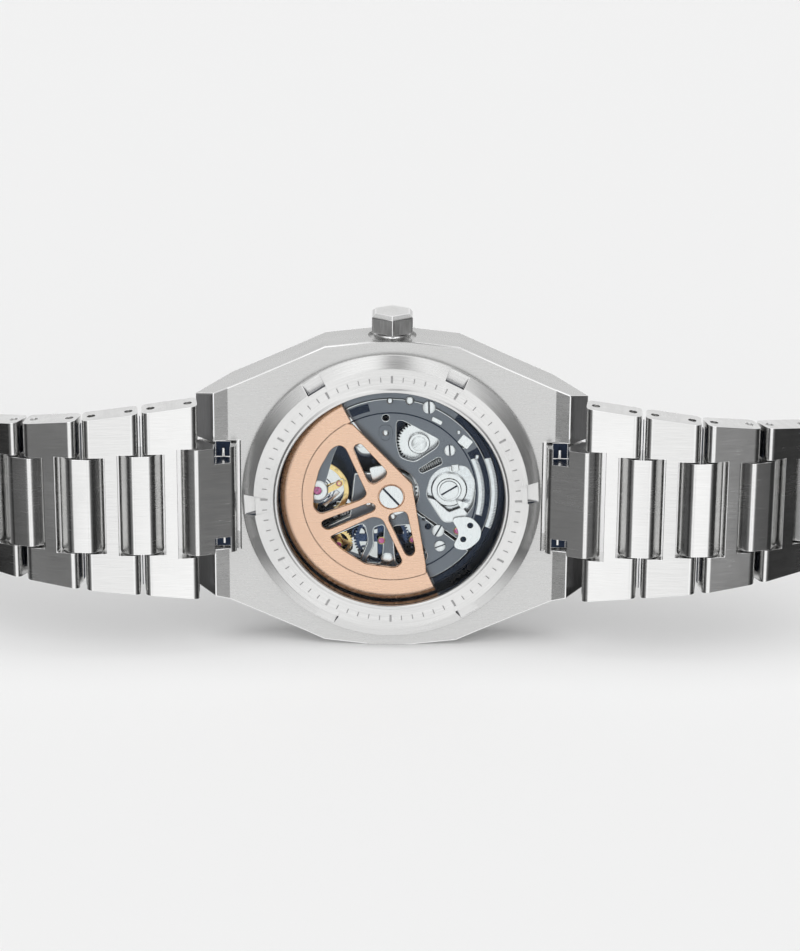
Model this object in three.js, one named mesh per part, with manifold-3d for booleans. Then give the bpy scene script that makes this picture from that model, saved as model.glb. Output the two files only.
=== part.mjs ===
// Skeleton wristwatch on a steel link bracelet, opened at one clasp pivot.
//
// Frame: millimetres, +Z up. The watch stands on the 9 o'clock flank of its case, crown up.
// The dial faces +Y, the glazed case back faces -Y, 12 o'clock is at +X and 6 o'clock at -X.
// The origin is the middle of the flat flank facet that it stands on.

import * as THREE from 'three';
import { mergeVertices } from 'three/addons/utils/BufferGeometryUtils.js';
import Module from 'manifold-3d';

const wasm = await Module();
wasm.setup();

// ---------------------------------------------------------------- driving dimensions

const CASE_HALF_WIDTH = 20;          // 3 o'clock flank to case centre
const BACK_PLANE = -3;               // Y of the mid-case's back face
const FRONT_PLANE = 3;               // Y of the mid-case's front face
const LUG_SLOT_HALF = 7.1;           // half the height of the slot for the end piece
const LUG_SLOT_START = 18.8;         // |X| where that slot begins
const CAVITY_RADIUS = 16;
const BACK_RING_RADIUS = 18.55;
const BACK_GLASS_RADIUS = 13.95;
const BACK_NOTCHES = 6;
const BACK_NOTCH_START_DEG = 3;

const CROWN_CORNER_RADIUS = 2.9;
const CROWN_RECESS_RADIUS = 3.25;
const CROWN_RECESS_FLOOR = 19.2;

const SPRING_BAR = { x: 20.9, y: -1.9 };   // case-side hinge of the end piece
const FIRST_PIN = { x: 25, y: -4.75 };     // hinge of the end piece and the first link
const PIN_SPACING_IN_LINK = 4.55;
const PIN_SPACING_IN_CENTRE = 2.7;
const LINK_OVERHANG = 1.1;                 // from a pin to the end of its main link
const LINK_HALF_THICKNESS = 1.8;
const LINK_CHAMFER = 0.8;
const LINK_FIRST_WIDTH = 25.45;            // at its case end
const LINK_TAPER = 0.235;                  // width lost per millimetre of bracelet
const RECESS_DEPTH = 1.5;                  // from a pin to the floor of the recess
const CENTRE_OVERHANG = 1.36;
const CENTRE_HALF_THICKNESS = 1.95;
const PIN_RADIUS = 0.42;
const PIN_HOLE_RADIUS = 0.5;
const PIN_INSET = 0.9;                     // each pin end below its link's flank
const ROUND = 8;                           // sides of the small pins and their holes
const CORNER_STEPS = 2;                    // straight runs in a rounded corner

// Tilt of each bracelet piece towards the wrist side, in degrees, from the case outwards:
// main link, centre link, main link and so on. The last of each row is the free end.
const TILTS = {
  six: [6.5, 5.5, 4, -4, -12, -18, -25, -28.5, -32, -35, -38, -44],
  twelve: [6.5, 5.5, 4, -4, -12, -18, -25, -28.5, -32],
};

const MOVEMENT_RADIUS = 13;
const ROTOR_RADIUS = 13.65;
const ROTOR_RIM_INNER = 11;
const ROTOR_SPAN = [117.4, 294];           // degrees, anticlockwise seen from the back
const LEVELS = {                           // [wrist side, dial side] of each layer, in Y
  rotorPlate: [-3.4, -2.9],
  rotorRim: [-3, -2.45],
  cock: [-2.35, -1.95],
  bridge: [-2.1, -1.3],
  balance: [-1.8, -1.4],
  hairspring: [-1.3, -1.1],
  winding: [-1.2, -0.9],
  train: [-1.2, -0.95],
  escapement: [-0.7, -0.4],
  barrel: [-0.8, 0.2],
  plate: [0.3, 1.4],
};

// Wheel centres (x, height above the case centre), radii and tooth counts.
const WHEELS = {
  mainspring_barrel: { at: [7.2, 0.3], r: 5.5, teeth: 48, level: 'barrel', spokes: 0 },
  ratchet_wheel: { at: [7.2, 0.3], r: 4.3, teeth: 36, level: 'winding', spokes: 0 },
  crown_wheel: { at: [3.4, 6.4], r: 2.75, teeth: 24, level: 'winding', spokes: 0 },
  centre_wheel: { at: [0, 0], r: 2.75, teeth: 30, level: 'train', spokes: 4 },
  third_wheel: { at: [-1.2, -6.3], r: 3.5, teeth: 36, level: 'train', spokes: 4 },
  fourth_wheel: { at: [-6.6, -6.9], r: 1.8, teeth: 20, level: 'train', spokes: 4 },
  escape_wheel: { at: [-5.6, -3.1], r: 1.8, teeth: 15, level: 'escapement', spokes: 3 },
  reversing_wheel: { at: [2.6, -7.6], r: 2, teeth: 20, level: 'escapement', spokes: 0 },
};
const BALANCE = { at: [-9.1, 0.2], r: 3.85 };
const CLICK_PIVOT = [7.2, 5.9];
const TOOTH_DEPTH = 0.3;
const STAFF_HOLE_RADIUS = 0.26;

// ---------------------------------------------------------------- materials

const finish = (color, roughness, metalness, opacity = 1) =>
  new THREE.MeshStandardMaterial({ color, roughness, metalness, opacity, transparent: opacity < 1 });

const FINISHES = {
  brushedSteel: () => finish(0xc6c7c8, 0.35, 1),
  polishedSteel: () => finish(0xdcdddf, 0.12, 1),
  glass: () => finish(0xf2f6f8, 0.03, 0, 0.3),
  bridge: () => finish(0x5b616d, 0.35, 0.9),
  darkPlate: () => finish(0x2b303b, 0.4, 0.8),
  gilt: () => finish(0xd9b36a, 0.25, 1),
  roseGold: () => finish(0xe3b08c, 0.3, 1),
  rubber: () => finish(0x1a1a1c, 0.8, 0),
};

// ---------------------------------------------------------------- solids

const radians = THREE.MathUtils.degToRad;

function toSolid(geometry) {
  const bare = geometry.clone();
  bare.deleteAttribute('normal');
  bare.deleteAttribute('uv');
  const merged = mergeVertices(bare, 1e-5);
  return new wasm.Manifold(new wasm.Mesh({
    numProp: 3,
    vertProperties: new Float32Array(merged.attributes.position.array),
    triVerts: new Uint32Array(merged.index.array),
  }));
}

function toGeometry(solid) {
  const mesh = solid.getMesh();
  const geometry = new THREE.BufferGeometry();
  geometry.setAttribute('position', new THREE.BufferAttribute(mesh.vertProperties, 3));
  geometry.setIndex(new THREE.BufferAttribute(mesh.triVerts, 1));
  geometry.computeVertexNormals();
  return geometry;
}

const join = (first, ...others) =>
  toGeometry(others.reduce((sum, next) => sum.add(toSolid(next)), toSolid(first)));
const cut = (body, ...tools) =>
  toGeometry(tools.reduce((rest, tool) => rest.subtract(toSolid(tool)), toSolid(body)));
const overlap = (a, b) => toGeometry(toSolid(a).intersect(toSolid(b)));

const shapeOf = (points) => new THREE.Shape(points.map(([x, y]) => new THREE.Vector2(x, y)));

// The same shape with its curves as straight runs and its outline anticlockwise.
function anticlockwise(shape, curveSegments) {
  const { shape: outline, holes } = shape.extractPoints(curveSegments);
  if (THREE.ShapeUtils.isClockWise(outline)) outline.reverse();
  const result = new THREE.Shape(outline);
  result.holes = holes.map((hole) => new THREE.Path(hole));
  return result;
}

// A flat shape drawn in (x, height), filling the layer between two Y levels.
function plate(shape, [near, far], curveSegments = 10) {
  const outline = anticlockwise(shape, curveSegments);
  const geometry = new THREE.ExtrudeGeometry(outline, { depth: far - near, bevelEnabled: false });
  return geometry.rotateX(Math.PI / 2).translate(0, far, 0);
}

// A flat shape drawn in (x, y), extruded upwards between two heights.
function column(shape, low, high) {
  return new THREE.ExtrudeGeometry(shape, { depth: high - low, bevelEnabled: false }).translate(0, 0, low);
}

function disc(radius, [near, far], at = [0, 0], sides = 24) {
  const geometry = new THREE.CylinderGeometry(radius, radius, far - near, sides);
  return geometry.translate(at[0], (near + far) / 2, at[1]);
}

function upright(radius, low, high, at = [0, 0], sides = ROUND) {
  const geometry = new THREE.CylinderGeometry(radius, radius, high - low, sides).rotateX(Math.PI / 2);
  return geometry.translate(at[0], at[1], (low + high) / 2);
}

function box([x0, x1], [y0, y1], [z0, z1]) {
  const geometry = new THREE.BoxGeometry(x1 - x0, y1 - y0, z1 - z0);
  return geometry.translate((x0 + x1) / 2, (y0 + y1) / 2, (z0 + z1) / 2);
}

// Turned about the Y axis from an anticlockwise (radius, y) profile: a closed one makes a ring,
// one that starts and ends on the axis makes a solid piece.
function turned(profile, segments = 40) {
  const points = profile.map(([r, y]) => new THREE.Vector2(r, y));
  if (THREE.ShapeUtils.isClockWise(points)) points.reverse();
  if (profile[0][0] > 0) points.push(points[0].clone());
  return new THREE.LatheGeometry(points, segments);
}

function polar(radius, degrees, at = [0, 0]) {
  return [at[0] + radius * Math.cos(radians(degrees)), at[1] + radius * Math.sin(radians(degrees))];
}

function circlePath(radius, at = [0, 0]) {
  return new THREE.Path().absarc(at[0], at[1], radius, 0, 2 * Math.PI, true);
}

// A polygon with rounded corners: each corner becomes a short curve between points on its sides.
function rounded(points, radius, Kind = THREE.Shape) {
  const corners = points.map(([x, y]) => new THREE.Vector2(x, y));
  const path = new Kind();
  corners.forEach((corner, i) => {
    const before = corners[(i + corners.length - 1) % corners.length];
    const after = corners[(i + 1) % corners.length];
    const reachIn = Math.min(radius, corner.distanceTo(before) / 2.2) / corner.distanceTo(before);
    const reachOut = Math.min(radius, corner.distanceTo(after) / 2.2) / corner.distanceTo(after);
    const start = corner.clone().lerp(before, reachIn);
    const end = corner.clone().lerp(after, reachOut);
    if (i === 0) path.moveTo(start.x, start.y);
    else path.lineTo(start.x, start.y);
    const turn = new THREE.QuadraticBezierCurve(start, corner, end);
    for (const point of turn.getPoints(CORNER_STEPS).slice(1)) path.lineTo(point.x, point.y);
  });
  return path;
}

// ---------------------------------------------------------------- scene graph

const watch = new THREE.Group();
const caseFrame = new THREE.Group();        // its origin is the centre of the case
caseFrame.position.z = CASE_HALF_WIDTH;
watch.add(caseFrame);

function piece(name, geometry, material, parent = caseFrame) {
  const mesh = new THREE.Mesh(geometry, material);
  mesh.name = name;
  parent.add(mesh);
  return mesh;
}

// ---------------------------------------------------------------- case

// Outline of the mid-case seen from the back: a flat facet at 3 and 9 o'clock,
// a corner, then a hollow sweep out to each lug.
function caseOutline() {
  const shape = new THREE.Shape();
  const quarter = [
    [[3, 20], [8.3, 19.4]],
    [[8.3, 19.4], [13.6, 16.9], [20, 14.1]],
    [[20, 14.1], [24.6, 12.6]],
  ];
  const flips = [[1, 1], [1, -1], [-1, -1], [-1, 1]];
  flips.forEach(([sx, sz], i) => {
    const runs = i % 2 === 0 ? quarter : [...quarter].reverse().map((run) => [...run].reverse());
    runs.forEach((run, j) => {
      const points = run.map(([x, z]) => [x * sx, z * sz]);
      if (i === 0 && j === 0) shape.moveTo(...points[0]);
      else if (j === 0) shape.lineTo(...points[0]);
      if (points.length === 3) shape.quadraticCurveTo(...points[1], ...points[2]);
      else shape.lineTo(...points[1]);
    });
  });
  shape.closePath();
  return shape;
}

function midCase() {
  const halfProfile = [[20.2, BACK_PLANE], [22, -3.5], [24.3, -1.2], [20, FRONT_PLANE]];
  const profile = [...halfProfile, ...[...halfProfile].reverse().map(([x, y]) => [-x, y])];
  const blank = overlap(
    plate(caseOutline(), [-4, FRONT_PLANE], 8),
    column(shapeOf(profile), -21, 21),
  );
  const slots = [1, -1].map((side) => box(
    [LUG_SLOT_START * side, 30 * side].sort((a, b) => a - b), [-6, 4], [-LUG_SLOT_HALF, LUG_SLOT_HALF],
  ));
  const barHoles = [1, -1].map((side) => upright(
    0.55, -LUG_SLOT_HALF - 2, LUG_SLOT_HALF + 2, [SPRING_BAR.x * side, SPRING_BAR.y],
  ));
  const hollow = cut(
    blank,
    disc(CAVITY_RADIUS, [-5, 2], [0, 0], 48),
    disc(14.6, [1, 4], [0, 0], 48),
    upright(CROWN_RECESS_RADIUS, CROWN_RECESS_FLOOR, 22, [0, 0], 24),
    ...slots,
    ...barHoles,
  );
  const tube = upright(1.6, 18.5, 20.4, [0, 0], 16);
  return cut(join(hollow, tube), upright(0.9, 13, 21, [0, 0], 12));
}

function caseBackRing() {
  const ring = turned([
    [15.75, -1.6], [15.75, -3.05], [BACK_RING_RADIUS, -3.05], [BACK_RING_RADIUS, -3.6],
    [17.1, -4.6], [14.6, -4.75], [14.45, -4.95], [14.05, -4.85], [14.05, -4.45],
    [14.35, -4.45], [14.35, -3.3], [15, -3.3], [15, -1.6],
  ], 48);
  const notches = Array.from({ length: BACK_NOTCHES }, (_, i) => {
    const notch = box([16.85, 18.3], [-6, -3.75], [-1.25, 1.25]);
    return notch.rotateY(-radians(BACK_NOTCH_START_DEG + 360 / BACK_NOTCHES * i));
  });
  return cut(ring, ...notches);
}

function bezel() {
  return turned([
    [14.7, 3.05], [18.1, 3.05], [18.1, 3.7], [16.2, 4.9], [15.35, 4.9], [15.35, 3.5], [14.7, 3.5],
  ]);
}

function chapterRing() {
  const ring = turned([[12.3, 2.1], [14.45, 2.1], [14.45, 2.9], [12.3, 2.4]]);
  const markers = Array.from({ length: 12 }, (_, i) => {
    const half = i === 0 ? 0.55 : 0.3;
    return box([11.2, 13.6], [2.15, 2.85], [-half, half]).rotateY(radians(30 * i));
  });
  return join(ring, ...markers);
}

function crown() {
  const hexagon = (radius) => Array.from({ length: 6 }, (_, i) => polar(radius, 60 * i + 30));
  const body = column(shapeOf(hexagon(CROWN_CORNER_RADIUS)), 20.65, 24);
  const envelope = turned([[0, 20], [3, 20], [3, 22.8], [2.45, 23.35], [0, 23.85]], 6).rotateX(Math.PI / 2);
  const shaped = overlap(body, envelope);
  return cut(shaped, upright(1.75, 20, 22.2, [0, 0], 16));
}

piece('mid_case', midCase(), FINISHES.brushedSteel());
piece('bezel', bezel(), FINISHES.polishedSteel());
const domed = turned([[0, 3.6], [15.25, 3.6], [15.25, 4.75], [14.6, 5.1], [8, 5.35], [0, 5.45]]);
piece('front_crystal', domed, FINISHES.glass());
piece('chapter_ring', chapterRing(), FINISHES.bridge());
piece('movement_ring', cut(
  turned([[13.25, -1.95], [14.9, -1.95], [14.9, -1.5], [15.9, -1.5], [15.9, 1.6], [13.25, 1.6]]),
  upright(0.8, 10, 18, [0, 0], 12),
), FINISHES.darkPlate());
piece('case_back_ring', caseBackRing(), FINISHES.brushedSteel());
piece('case_back_crystal', disc(BACK_GLASS_RADIUS, [-4.8, -3.7], [0, 0], 60), FINISHES.glass());
piece('case_back_gasket', turned([[14, -4.35], [14.3, -4.35], [14.3, -3.6], [14, -3.6]]), FINISHES.rubber());
piece('crown', crown(), FINISHES.brushedSteel());
const seal = cut(upright(1.7, 21.3, 22, [0, 0], 16), upright(0.6, 21, 22.1, [0, 0], 12));
piece('crown_seal', seal, FINISHES.rubber());
piece('winding_stem', upright(0.5, 9.6, 22.15, [0, 0], 12), FINISHES.polishedSteel());

// ---------------------------------------------------------------- movement

function wheel({ at, r, teeth, level, spokes }) {
  const outline = [];
  for (let i = 0; i < teeth; i += 1) {
    const pitch = 360 / teeth;
    outline.push(polar(r - TOOTH_DEPTH, pitch * i, at));
    outline.push(polar(r, pitch * (i + 0.35), at));
    outline.push(polar(r, pitch * (i + 0.65), at));
  }
  const shape = shapeOf(outline);
  for (let i = 0; i < spokes; i += 1) {
    const from = 360 / spokes * i + 14;
    const to = 360 / spokes * (i + 1) - 14;
    const middle = (from + to) / 2;
    const outer = r - 0.65;
    const bulge = outer / Math.cos(radians((to - from) / 4));
    const corners = [
      polar(0.8, middle, at), polar(outer, from, at), polar(bulge, middle, at), polar(outer, to, at),
    ];
    shape.holes.push(rounded(corners, 0.25, THREE.Path));
  }
  shape.holes.push(circlePath(STAFF_HOLE_RADIUS, at));
  return plate(shape, LEVELS[level], 4);
}

for (const [name, wheelSize] of Object.entries(WHEELS)) {
  const geometry = name === 'ratchet_wheel' || name === 'crown_wheel'
    ? join(wheel(wheelSize), disc(1.5, [LEVELS.winding[0] - 0.25, LEVELS.winding[1]], wheelSize.at, 20))
    : wheel(wheelSize);
  const gilt = ['third_wheel', 'fourth_wheel', 'centre_wheel'].includes(name);
  piece(name, geometry, gilt ? FINISHES.gilt() : FINISHES.polishedSteel());
}

function mainPlate() {
  const shape = new THREE.Shape().absarc(0, 0, MOVEMENT_RADIUS, 0, 2 * Math.PI, false);
  shape.holes.push(circlePath(0.9));
  shape.holes.push(circlePath(2.6, [-8.3, 0.2]));
  shape.holes.push(circlePath(2.2, [7.2, 0.3]));
  shape.holes.push(rounded([[-6, -8.8], [-1.5, -10.5], [-1.5, -4], [-3.2, -4]], 0.8, THREE.Path));
  shape.holes.push(rounded([[1.5, -10.8], [6, -8.5], [4.5, -5], [1.5, -4]], 0.8, THREE.Path));
  shape.holes.push(rounded([[-6, 8.8], [-3, 10], [-2.2, 4], [-4, 4]], 0.8, THREE.Path));
  return cut(plate(shape, LEVELS.plate), upright(0.7, 9, 14, [0, 0], 12));
}

// Upper bridge over the barrel and the winding wheels: a sector with a window for each.
function barrelBridge() {
  const outer = 12.4;
  const shape = new THREE.Shape();
  shape.moveTo(...polar(2.9, 100));
  shape.lineTo(...polar(outer, 118));
  shape.absarc(0, 0, outer, radians(118), radians(-22), true);
  shape.lineTo(...polar(3.4, -22));
  shape.absarc(0, 0, 3.4, radians(-22), radians(100), false);
  shape.holes.push(rounded([[1, 5.2], [2.1, 9.2], [6.6, 6.8], [5.5, 5.1], [2.4, 4.2]], 0.7, THREE.Path));
  shape.holes.push(rounded([[9.3, 3.7], [4.9, 2.6], [4.9, -2], [9.9, -2.2], [10.8, 1]], 0.9, THREE.Path));
  return plate(shape, LEVELS.bridge);
}

// Lower bridge over the going train, cut away around the balance.
function trainBridge() {
  const outer = 12.4;
  const shape = new THREE.Shape();
  shape.moveTo(...polar(outer, -25));
  shape.absarc(0, 0, outer, radians(-25), radians(-152), true);
  shape.lineTo(-5.2, -3.1);
  shape.lineTo(-4.6, 2.6);
  shape.lineTo(...polar(2.75, 103));
  shape.absarc(0, 0, 2.75, radians(103), radians(-25), true);
  shape.holes.push(rounded([[-8, -6.2], [-3.4, -4], [-2, -9.6], [-5.4, -10.2]], 0.8, THREE.Path));
  shape.holes.push(rounded([[-0.6, -4.6], [2.6, -4.2], [4.6, -9.8], [0.2, -10.9]], 0.8, THREE.Path));
  const hub = disc(3, LEVELS.bridge, [0, 0], 24);
  return cut(join(plate(shape, LEVELS.bridge), hub), disc(0.68, [-3, 0], [0, 0], 12));
}

function balanceCock() {
  const shape = rounded(
    [[-9.9, -1.1], [-8.2, -1.1], [-7.9, 1], [-5.8, 6.2], [-6.8, 9.8], [-9.2, 8.2], [-10.2, 1.2]], 0.7,
  );
  const foot = disc(1.1, [LEVELS.cock[0], LEVELS.plate[0] - 0.05], [-7.3, 8.1], 16);
  return join(plate(shape, LEVELS.cock, 4), foot);
}

function balanceWheel() {
  const { at, r } = BALANCE;
  const shape = new THREE.Shape().absarc(at[0], at[1], r, 0, 2 * Math.PI, false);
  for (const side of [0, 120, 240]) {
    const reach = r - 0.55;
    const corners = [
      polar(0.9, side + 60, at), polar(reach, side + 10, at), polar(reach * 1.1, side + 35, at),
      polar(reach * 1.1, side + 85, at), polar(reach, side + 110, at),
    ];
    shape.holes.push(rounded(corners, 0.4, THREE.Path));
  }
  const staff = disc(0.22, [-1.85, 0.25], at, ROUND);
  const roller = disc(0.45, [-0.9, -0.75], at, ROUND);
  return join(plate(shape, LEVELS.balance), staff, roller);
}

// A flat spiral blade, coiled about the balance staff.
function hairspring() {
  const { at } = BALANCE;
  const turns = 4;
  const steps = 44;
  const blade = 0.1;
  const side = (offset) => Array.from({ length: steps + 1 }, (_, i) => {
    const t = i / steps;
    return polar(0.55 + 1.5 * t + offset, 360 * turns * t, at);
  });
  return plate(shapeOf([...side(blade / 2), ...side(-blade / 2).reverse()]), LEVELS.hairspring);
}

function palletFork() {
  const pivot = [-7.55, -1.25];
  const lean = Math.atan2(BALANCE.at[1] - pivot[1], BALANCE.at[0] - pivot[0]);
  const toBalance = THREE.MathUtils.radToDeg(lean);
  const along = (distance, aside) => polar(aside, toBalance + 90, polar(distance, toBalance, pivot));
  return plate(shapeOf([
    along(-0.3, -1.3), along(0.25, -1.3), along(0.25, -0.2), along(1.25, -0.12),
    along(1.25, 0.12), along(0.25, 0.2), along(0.25, 1.3), along(-0.3, 1.3),
  ]), LEVELS.escapement);
}

function click() {
  const [x, z] = CLICK_PIVOT;
  const corners = [
    [x - 0.35, z + 0.45], [x + 0.5, z + 0.4], [x + 1.7, z - 0.5], [x + 1.6, z - 0.95], [x - 0.3, z - 0.4],
  ];
  const shape = rounded(corners, 0.2);
  return plate(shape, [-1.25, -0.95], 4);
}

piece('main_plate', mainPlate(), FINISHES.darkPlate());
piece('barrel_bridge', barrelBridge(), FINISHES.bridge());
piece('train_bridge', trainBridge(), FINISHES.bridge());
piece('balance_cock', balanceCock(), FINISHES.bridge());
piece('balance_wheel', balanceWheel(), FINISHES.gilt());
piece('hairspring', hairspring(), FINISHES.darkPlate());
piece('pallet_fork', palletFork(), FINISHES.polishedSteel());
piece('click', click(), FINISHES.polishedSteel());

// ---------------------------------------------------------------- winding rotor

const ROTOR_WINDOWS = [
  [
    [-6.5, 6.8], [-5.7, 6.4], [-3, 0.3], [-3.7, -0.4], [-8.8, -2.4], [-9.65, -1.6], [-9.65, 0.6],
    [-8.9, 3.6], [-7.5, 6.2],
  ],
  [[-4.8, 6.5], [-3.9, 7.1], [-0.5, 3.3], [-0.8, 2.5], [-2.2, 1.55], [-2.9, 2]],
  [[-8.7, -3.3], [-8.6, -4.1], [-7.9, -4.5], [-2.1, -1.9], [-1.9, -1.2], [-2.6, -0.75]],
  [[-7.7, -5.4], [-2.3, -2.65], [-1.1, -2.95], [1.5, -8.7], [0.6, -9.5], [-3.2, -9], [-6.2, -7]],
  [[-0.4, -2.9], [-0.1, -2.2], [1.5, -1.9], [2, -2.2], [3.05, -7.2], [2.6, -7.9], [1.9, -7.8]],
];

function rotorWeight() {
  const outline = new THREE.Shape();
  outline.moveTo(...polar(ROTOR_RADIUS, ROTOR_SPAN[0]));
  outline.absarc(0, 0, ROTOR_RADIUS, ...ROTOR_SPAN.map(radians), false);
  outline.lineTo(4.37, -9.05);
  outline.lineTo(2.57, 1.69);
  outline.lineTo(-4.83, 9.48);
  for (const window of ROTOR_WINDOWS) outline.holes.push(rounded(window, 0.45, THREE.Path));
  const rim = new THREE.Shape();
  rim.absarc(0, 0, ROTOR_RADIUS, ...ROTOR_SPAN.map(radians), false);
  rim.absarc(0, 0, ROTOR_RIM_INNER, ...[...ROTOR_SPAN].reverse().map(radians), true);
  const body = join(plate(outline, LEVELS.rotorPlate), plate(rim, LEVELS.rotorRim));
  return cut(body, disc(1.65, [-4, -3.15], [0, 0], 24), disc(0.7, [-4, -2], [0, 0], 12));
}

piece('rotor_weight', rotorWeight(), FINISHES.roseGold());
const rotorScrew = join(disc(1.5, [-3.5, -3.2]), disc(0.6, [-3.3, -1.35], [0, 0], 12));
piece('rotor_screw', rotorScrew, FINISHES.polishedSteel());

// ---------------------------------------------------------------- hands

function hand(length, width, hub, layer) {
  const tail = -hub * 1.8;
  const shoulder = length * 0.7;
  const blade = shapeOf([
    [tail, -width * 0.4], [shoulder, -width / 2], [length, 0], [shoulder, width / 2], [tail, width * 0.4],
  ]);
  return join(plate(blade, layer), disc(hub, layer, [0, 0], 16));
}

piece('hour_hand', hand(7.2, 1.1, 0.9, [2, 2.2]).rotateY(radians(-62)), FINISHES.polishedSteel());
piece('minute_hand', hand(10.6, 0.9, 0.8, [2.45, 2.65]).rotateY(radians(52)), FINISHES.polishedSteel());
piece('seconds_hand', hand(11, 0.3, 0.5, [2.95, 3.1]).rotateY(radians(-165)), FINISHES.gilt());

// ---------------------------------------------------------------- bracelet

// Every bracelet piece is built along local +x, away from the case, with its own inner pin at the
// local origin. `wrist` is the local y direction of the wrist side.

function mainLink(innerWidth, outerWidth, recessHalves) {
  const start = -LINK_OVERHANG;
  const end = PIN_SPACING_IN_LINK + LINK_OVERHANG;
  const t = LINK_HALF_THICKNESS;
  const c = LINK_CHAMFER;
  const section = shapeOf([
    [start, -t + c], [start + c, -t], [end - c, -t], [end, -t + c],
    [end, t - c], [end - c, t], [start + c, t], [start, t - c],
  ]);
  const tapered = shapeOf([
    [start, -innerWidth / 2], [end, -outerWidth / 2], [end, outerWidth / 2], [start, innerWidth / 2],
  ]);
  const blank = overlap(column(section, -14, 14), plate(tapered, [-3, 3]));
  const recess = (x0, x1, half) => box([x0, x1], [-3, 3], [-half, half]);
  const hole = (x) => upright(PIN_HOLE_RADIUS, -14, 14, [x, 0]);
  return cut(
    blank,
    recess(start - 1, RECESS_DEPTH, recessHalves[0] + 0.2),
    recess(PIN_SPACING_IN_LINK - RECESS_DEPTH, end + 1, recessHalves[1] + 0.2),
    hole(0),
    hole(PIN_SPACING_IN_LINK),
  );
}

function centreLink(half, pinHalf) {
  const x0 = -CENTRE_OVERHANG;
  const x1 = PIN_SPACING_IN_CENTRE + CENTRE_OVERHANG;
  const t = CENTRE_HALF_THICKNESS;
  const bevel = 1.35;
  const block = column(shapeOf([
    [x0, -0.6], [x0 + bevel, -t], [x1 - bevel, -t], [x1, -0.6],
    [x1, 0.6], [x1 - bevel, t], [x0 + bevel, t], [x0, 0.6],
  ]), -half, half);
  const pin = (x) => upright(PIN_RADIUS, -pinHalf, pinHalf, [x, 0]);
  return join(block, pin(0), pin(PIN_SPACING_IN_CENTRE));
}

// The end piece fills the slot between the lugs. It is drawn about the case centre.
function endPiece(side) {
  const profile = [
    [19.45, -4.75], [24, -6.35], [25.75, -5.6], [26, -5], [26, -4.3], [25.2, -3.2],
    [22.6, -1], [21.6, 0], [19.6, 0], [19.15, -0.6], [19.15, -4.3],
  ];
  const block = column(shapeOf(profile.map(([x, y]) => [x * side, y])), -6.95, 6.95);
  const bar = upright(0.45, -LUG_SLOT_HALF - 1.6, LUG_SLOT_HALF + 1.6, [SPRING_BAR.x * side, SPRING_BAR.y]);
  const pin = upright(PIN_RADIUS, -12, 12, [FIRST_PIN.x * side, FIRST_PIN.y]);
  const levers = [1, -1].map((end) => box(
    [19.8, 21.9].map((x) => x * side).sort((a, b) => a - b), [-7, -2.6],
    [4.9 * end, 7.5 * end].sort((a, b) => a - b),
  ));
  return join(cut(block, ...levers), bar, pin);
}

const centreHalf = (distance) => 6.7 - 0.045 * distance;
const linkWidth = (distance) => LINK_FIRST_WIDTH - LINK_TAPER * distance;

function place(mesh, at, heading) {
  mesh.position.set(at.x, at.y, 0);
  mesh.rotation.z = heading;
}

// Lays one half of the bracelet and returns its open end: the last pin and the last heading.
function layBracelet(label, side) {
  piece(`end_piece_${label}`, endPiece(side), FINISHES.brushedSteel());
  const pin = { x: FIRST_PIN.x * side, y: FIRST_PIN.y };
  const heading = (tilt) => (side < 0 ? Math.PI + radians(tilt) : -radians(tilt));
  const step = (length, angle) => {
    pin.x += length * Math.cos(angle);
    pin.y += length * Math.sin(angle);
  };
  let distance = 0;
  const tilts = TILTS[label];
  const pieces = label === 'six' ? tilts.length - 1 : tilts.length;
  for (let i = 0; i < pieces; i += 1) {
    const number = Math.floor(i / 2) + 1;
    const angle = heading(tilts[i]);
    if (i % 2 === 0) {
      const inner = i === 0 ? 6.95 : centreHalf(distance);
      const length = PIN_SPACING_IN_LINK + 2 * LINK_OVERHANG;
      const outer = centreHalf(distance + length);
      const link = mainLink(linkWidth(distance), linkWidth(distance + length), [inner, outer]);
      place(piece(`link_${label}_${number}`, link, FINISHES.brushedSteel()), pin, angle);
      step(PIN_SPACING_IN_LINK, angle);
      distance += PIN_SPACING_IN_LINK;
    } else {
      const pinHalf = linkWidth(distance + PIN_SPACING_IN_CENTRE) / 2 - PIN_INSET;
      const block = centreLink(centreHalf(distance + LINK_OVERHANG), pinHalf);
      place(piece(`centre_link_${label}_${number}`, block, FINISHES.brushedSteel()), pin, angle);
      step(PIN_SPACING_IN_CENTRE, angle);
      distance += PIN_SPACING_IN_CENTRE;
    }
  }
  return { pin, angle: heading(tilts[tilts.length - 1]), distance };
}

// ---------------------------------------------------------------- clasp

const CLASP_LENGTH = 33;
const CLASP_HALF_WIDTH = 8.2;
const CLASP_WALL = 1.1;
const COVER_HINGE = [31.6, 0.1];     // along the cover, towards the wrist
const BLADE_HINGE = [6.2, 0.9];

function claspCover() {
  const shell = box([3, CLASP_LENGTH], [-1.9, 2.3], [-CLASP_HALF_WIDTH, CLASP_HALF_WIDTH]);
  const reach = CLASP_HALF_WIDTH - CLASP_WALL;
  const inside = box([3.8, CLASP_LENGTH + 1], [-0.8, 3], [-reach, reach]);
  const tongueSide = shapeOf([
    [-1.1, -0.7], [-0.3, -1.6], [3.4, -1.6], [3.4, 1.6], [-0.3, 1.6], [-1.1, 0.7],
  ]);
  const tongue = column(tongueSide, -4.4, 4.4);
  const pin = upright(PIN_RADIUS, -7, 7);
  const buttonHoles = box([9.8, 14.2], [-0.2, 1.8], [-9, 9]);
  const hingePin = upright(0.45, -7.5, 7.5, COVER_HINGE);
  return join(cut(shell, inside, buttonHoles), tongue, pin, hingePin);
}

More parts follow.
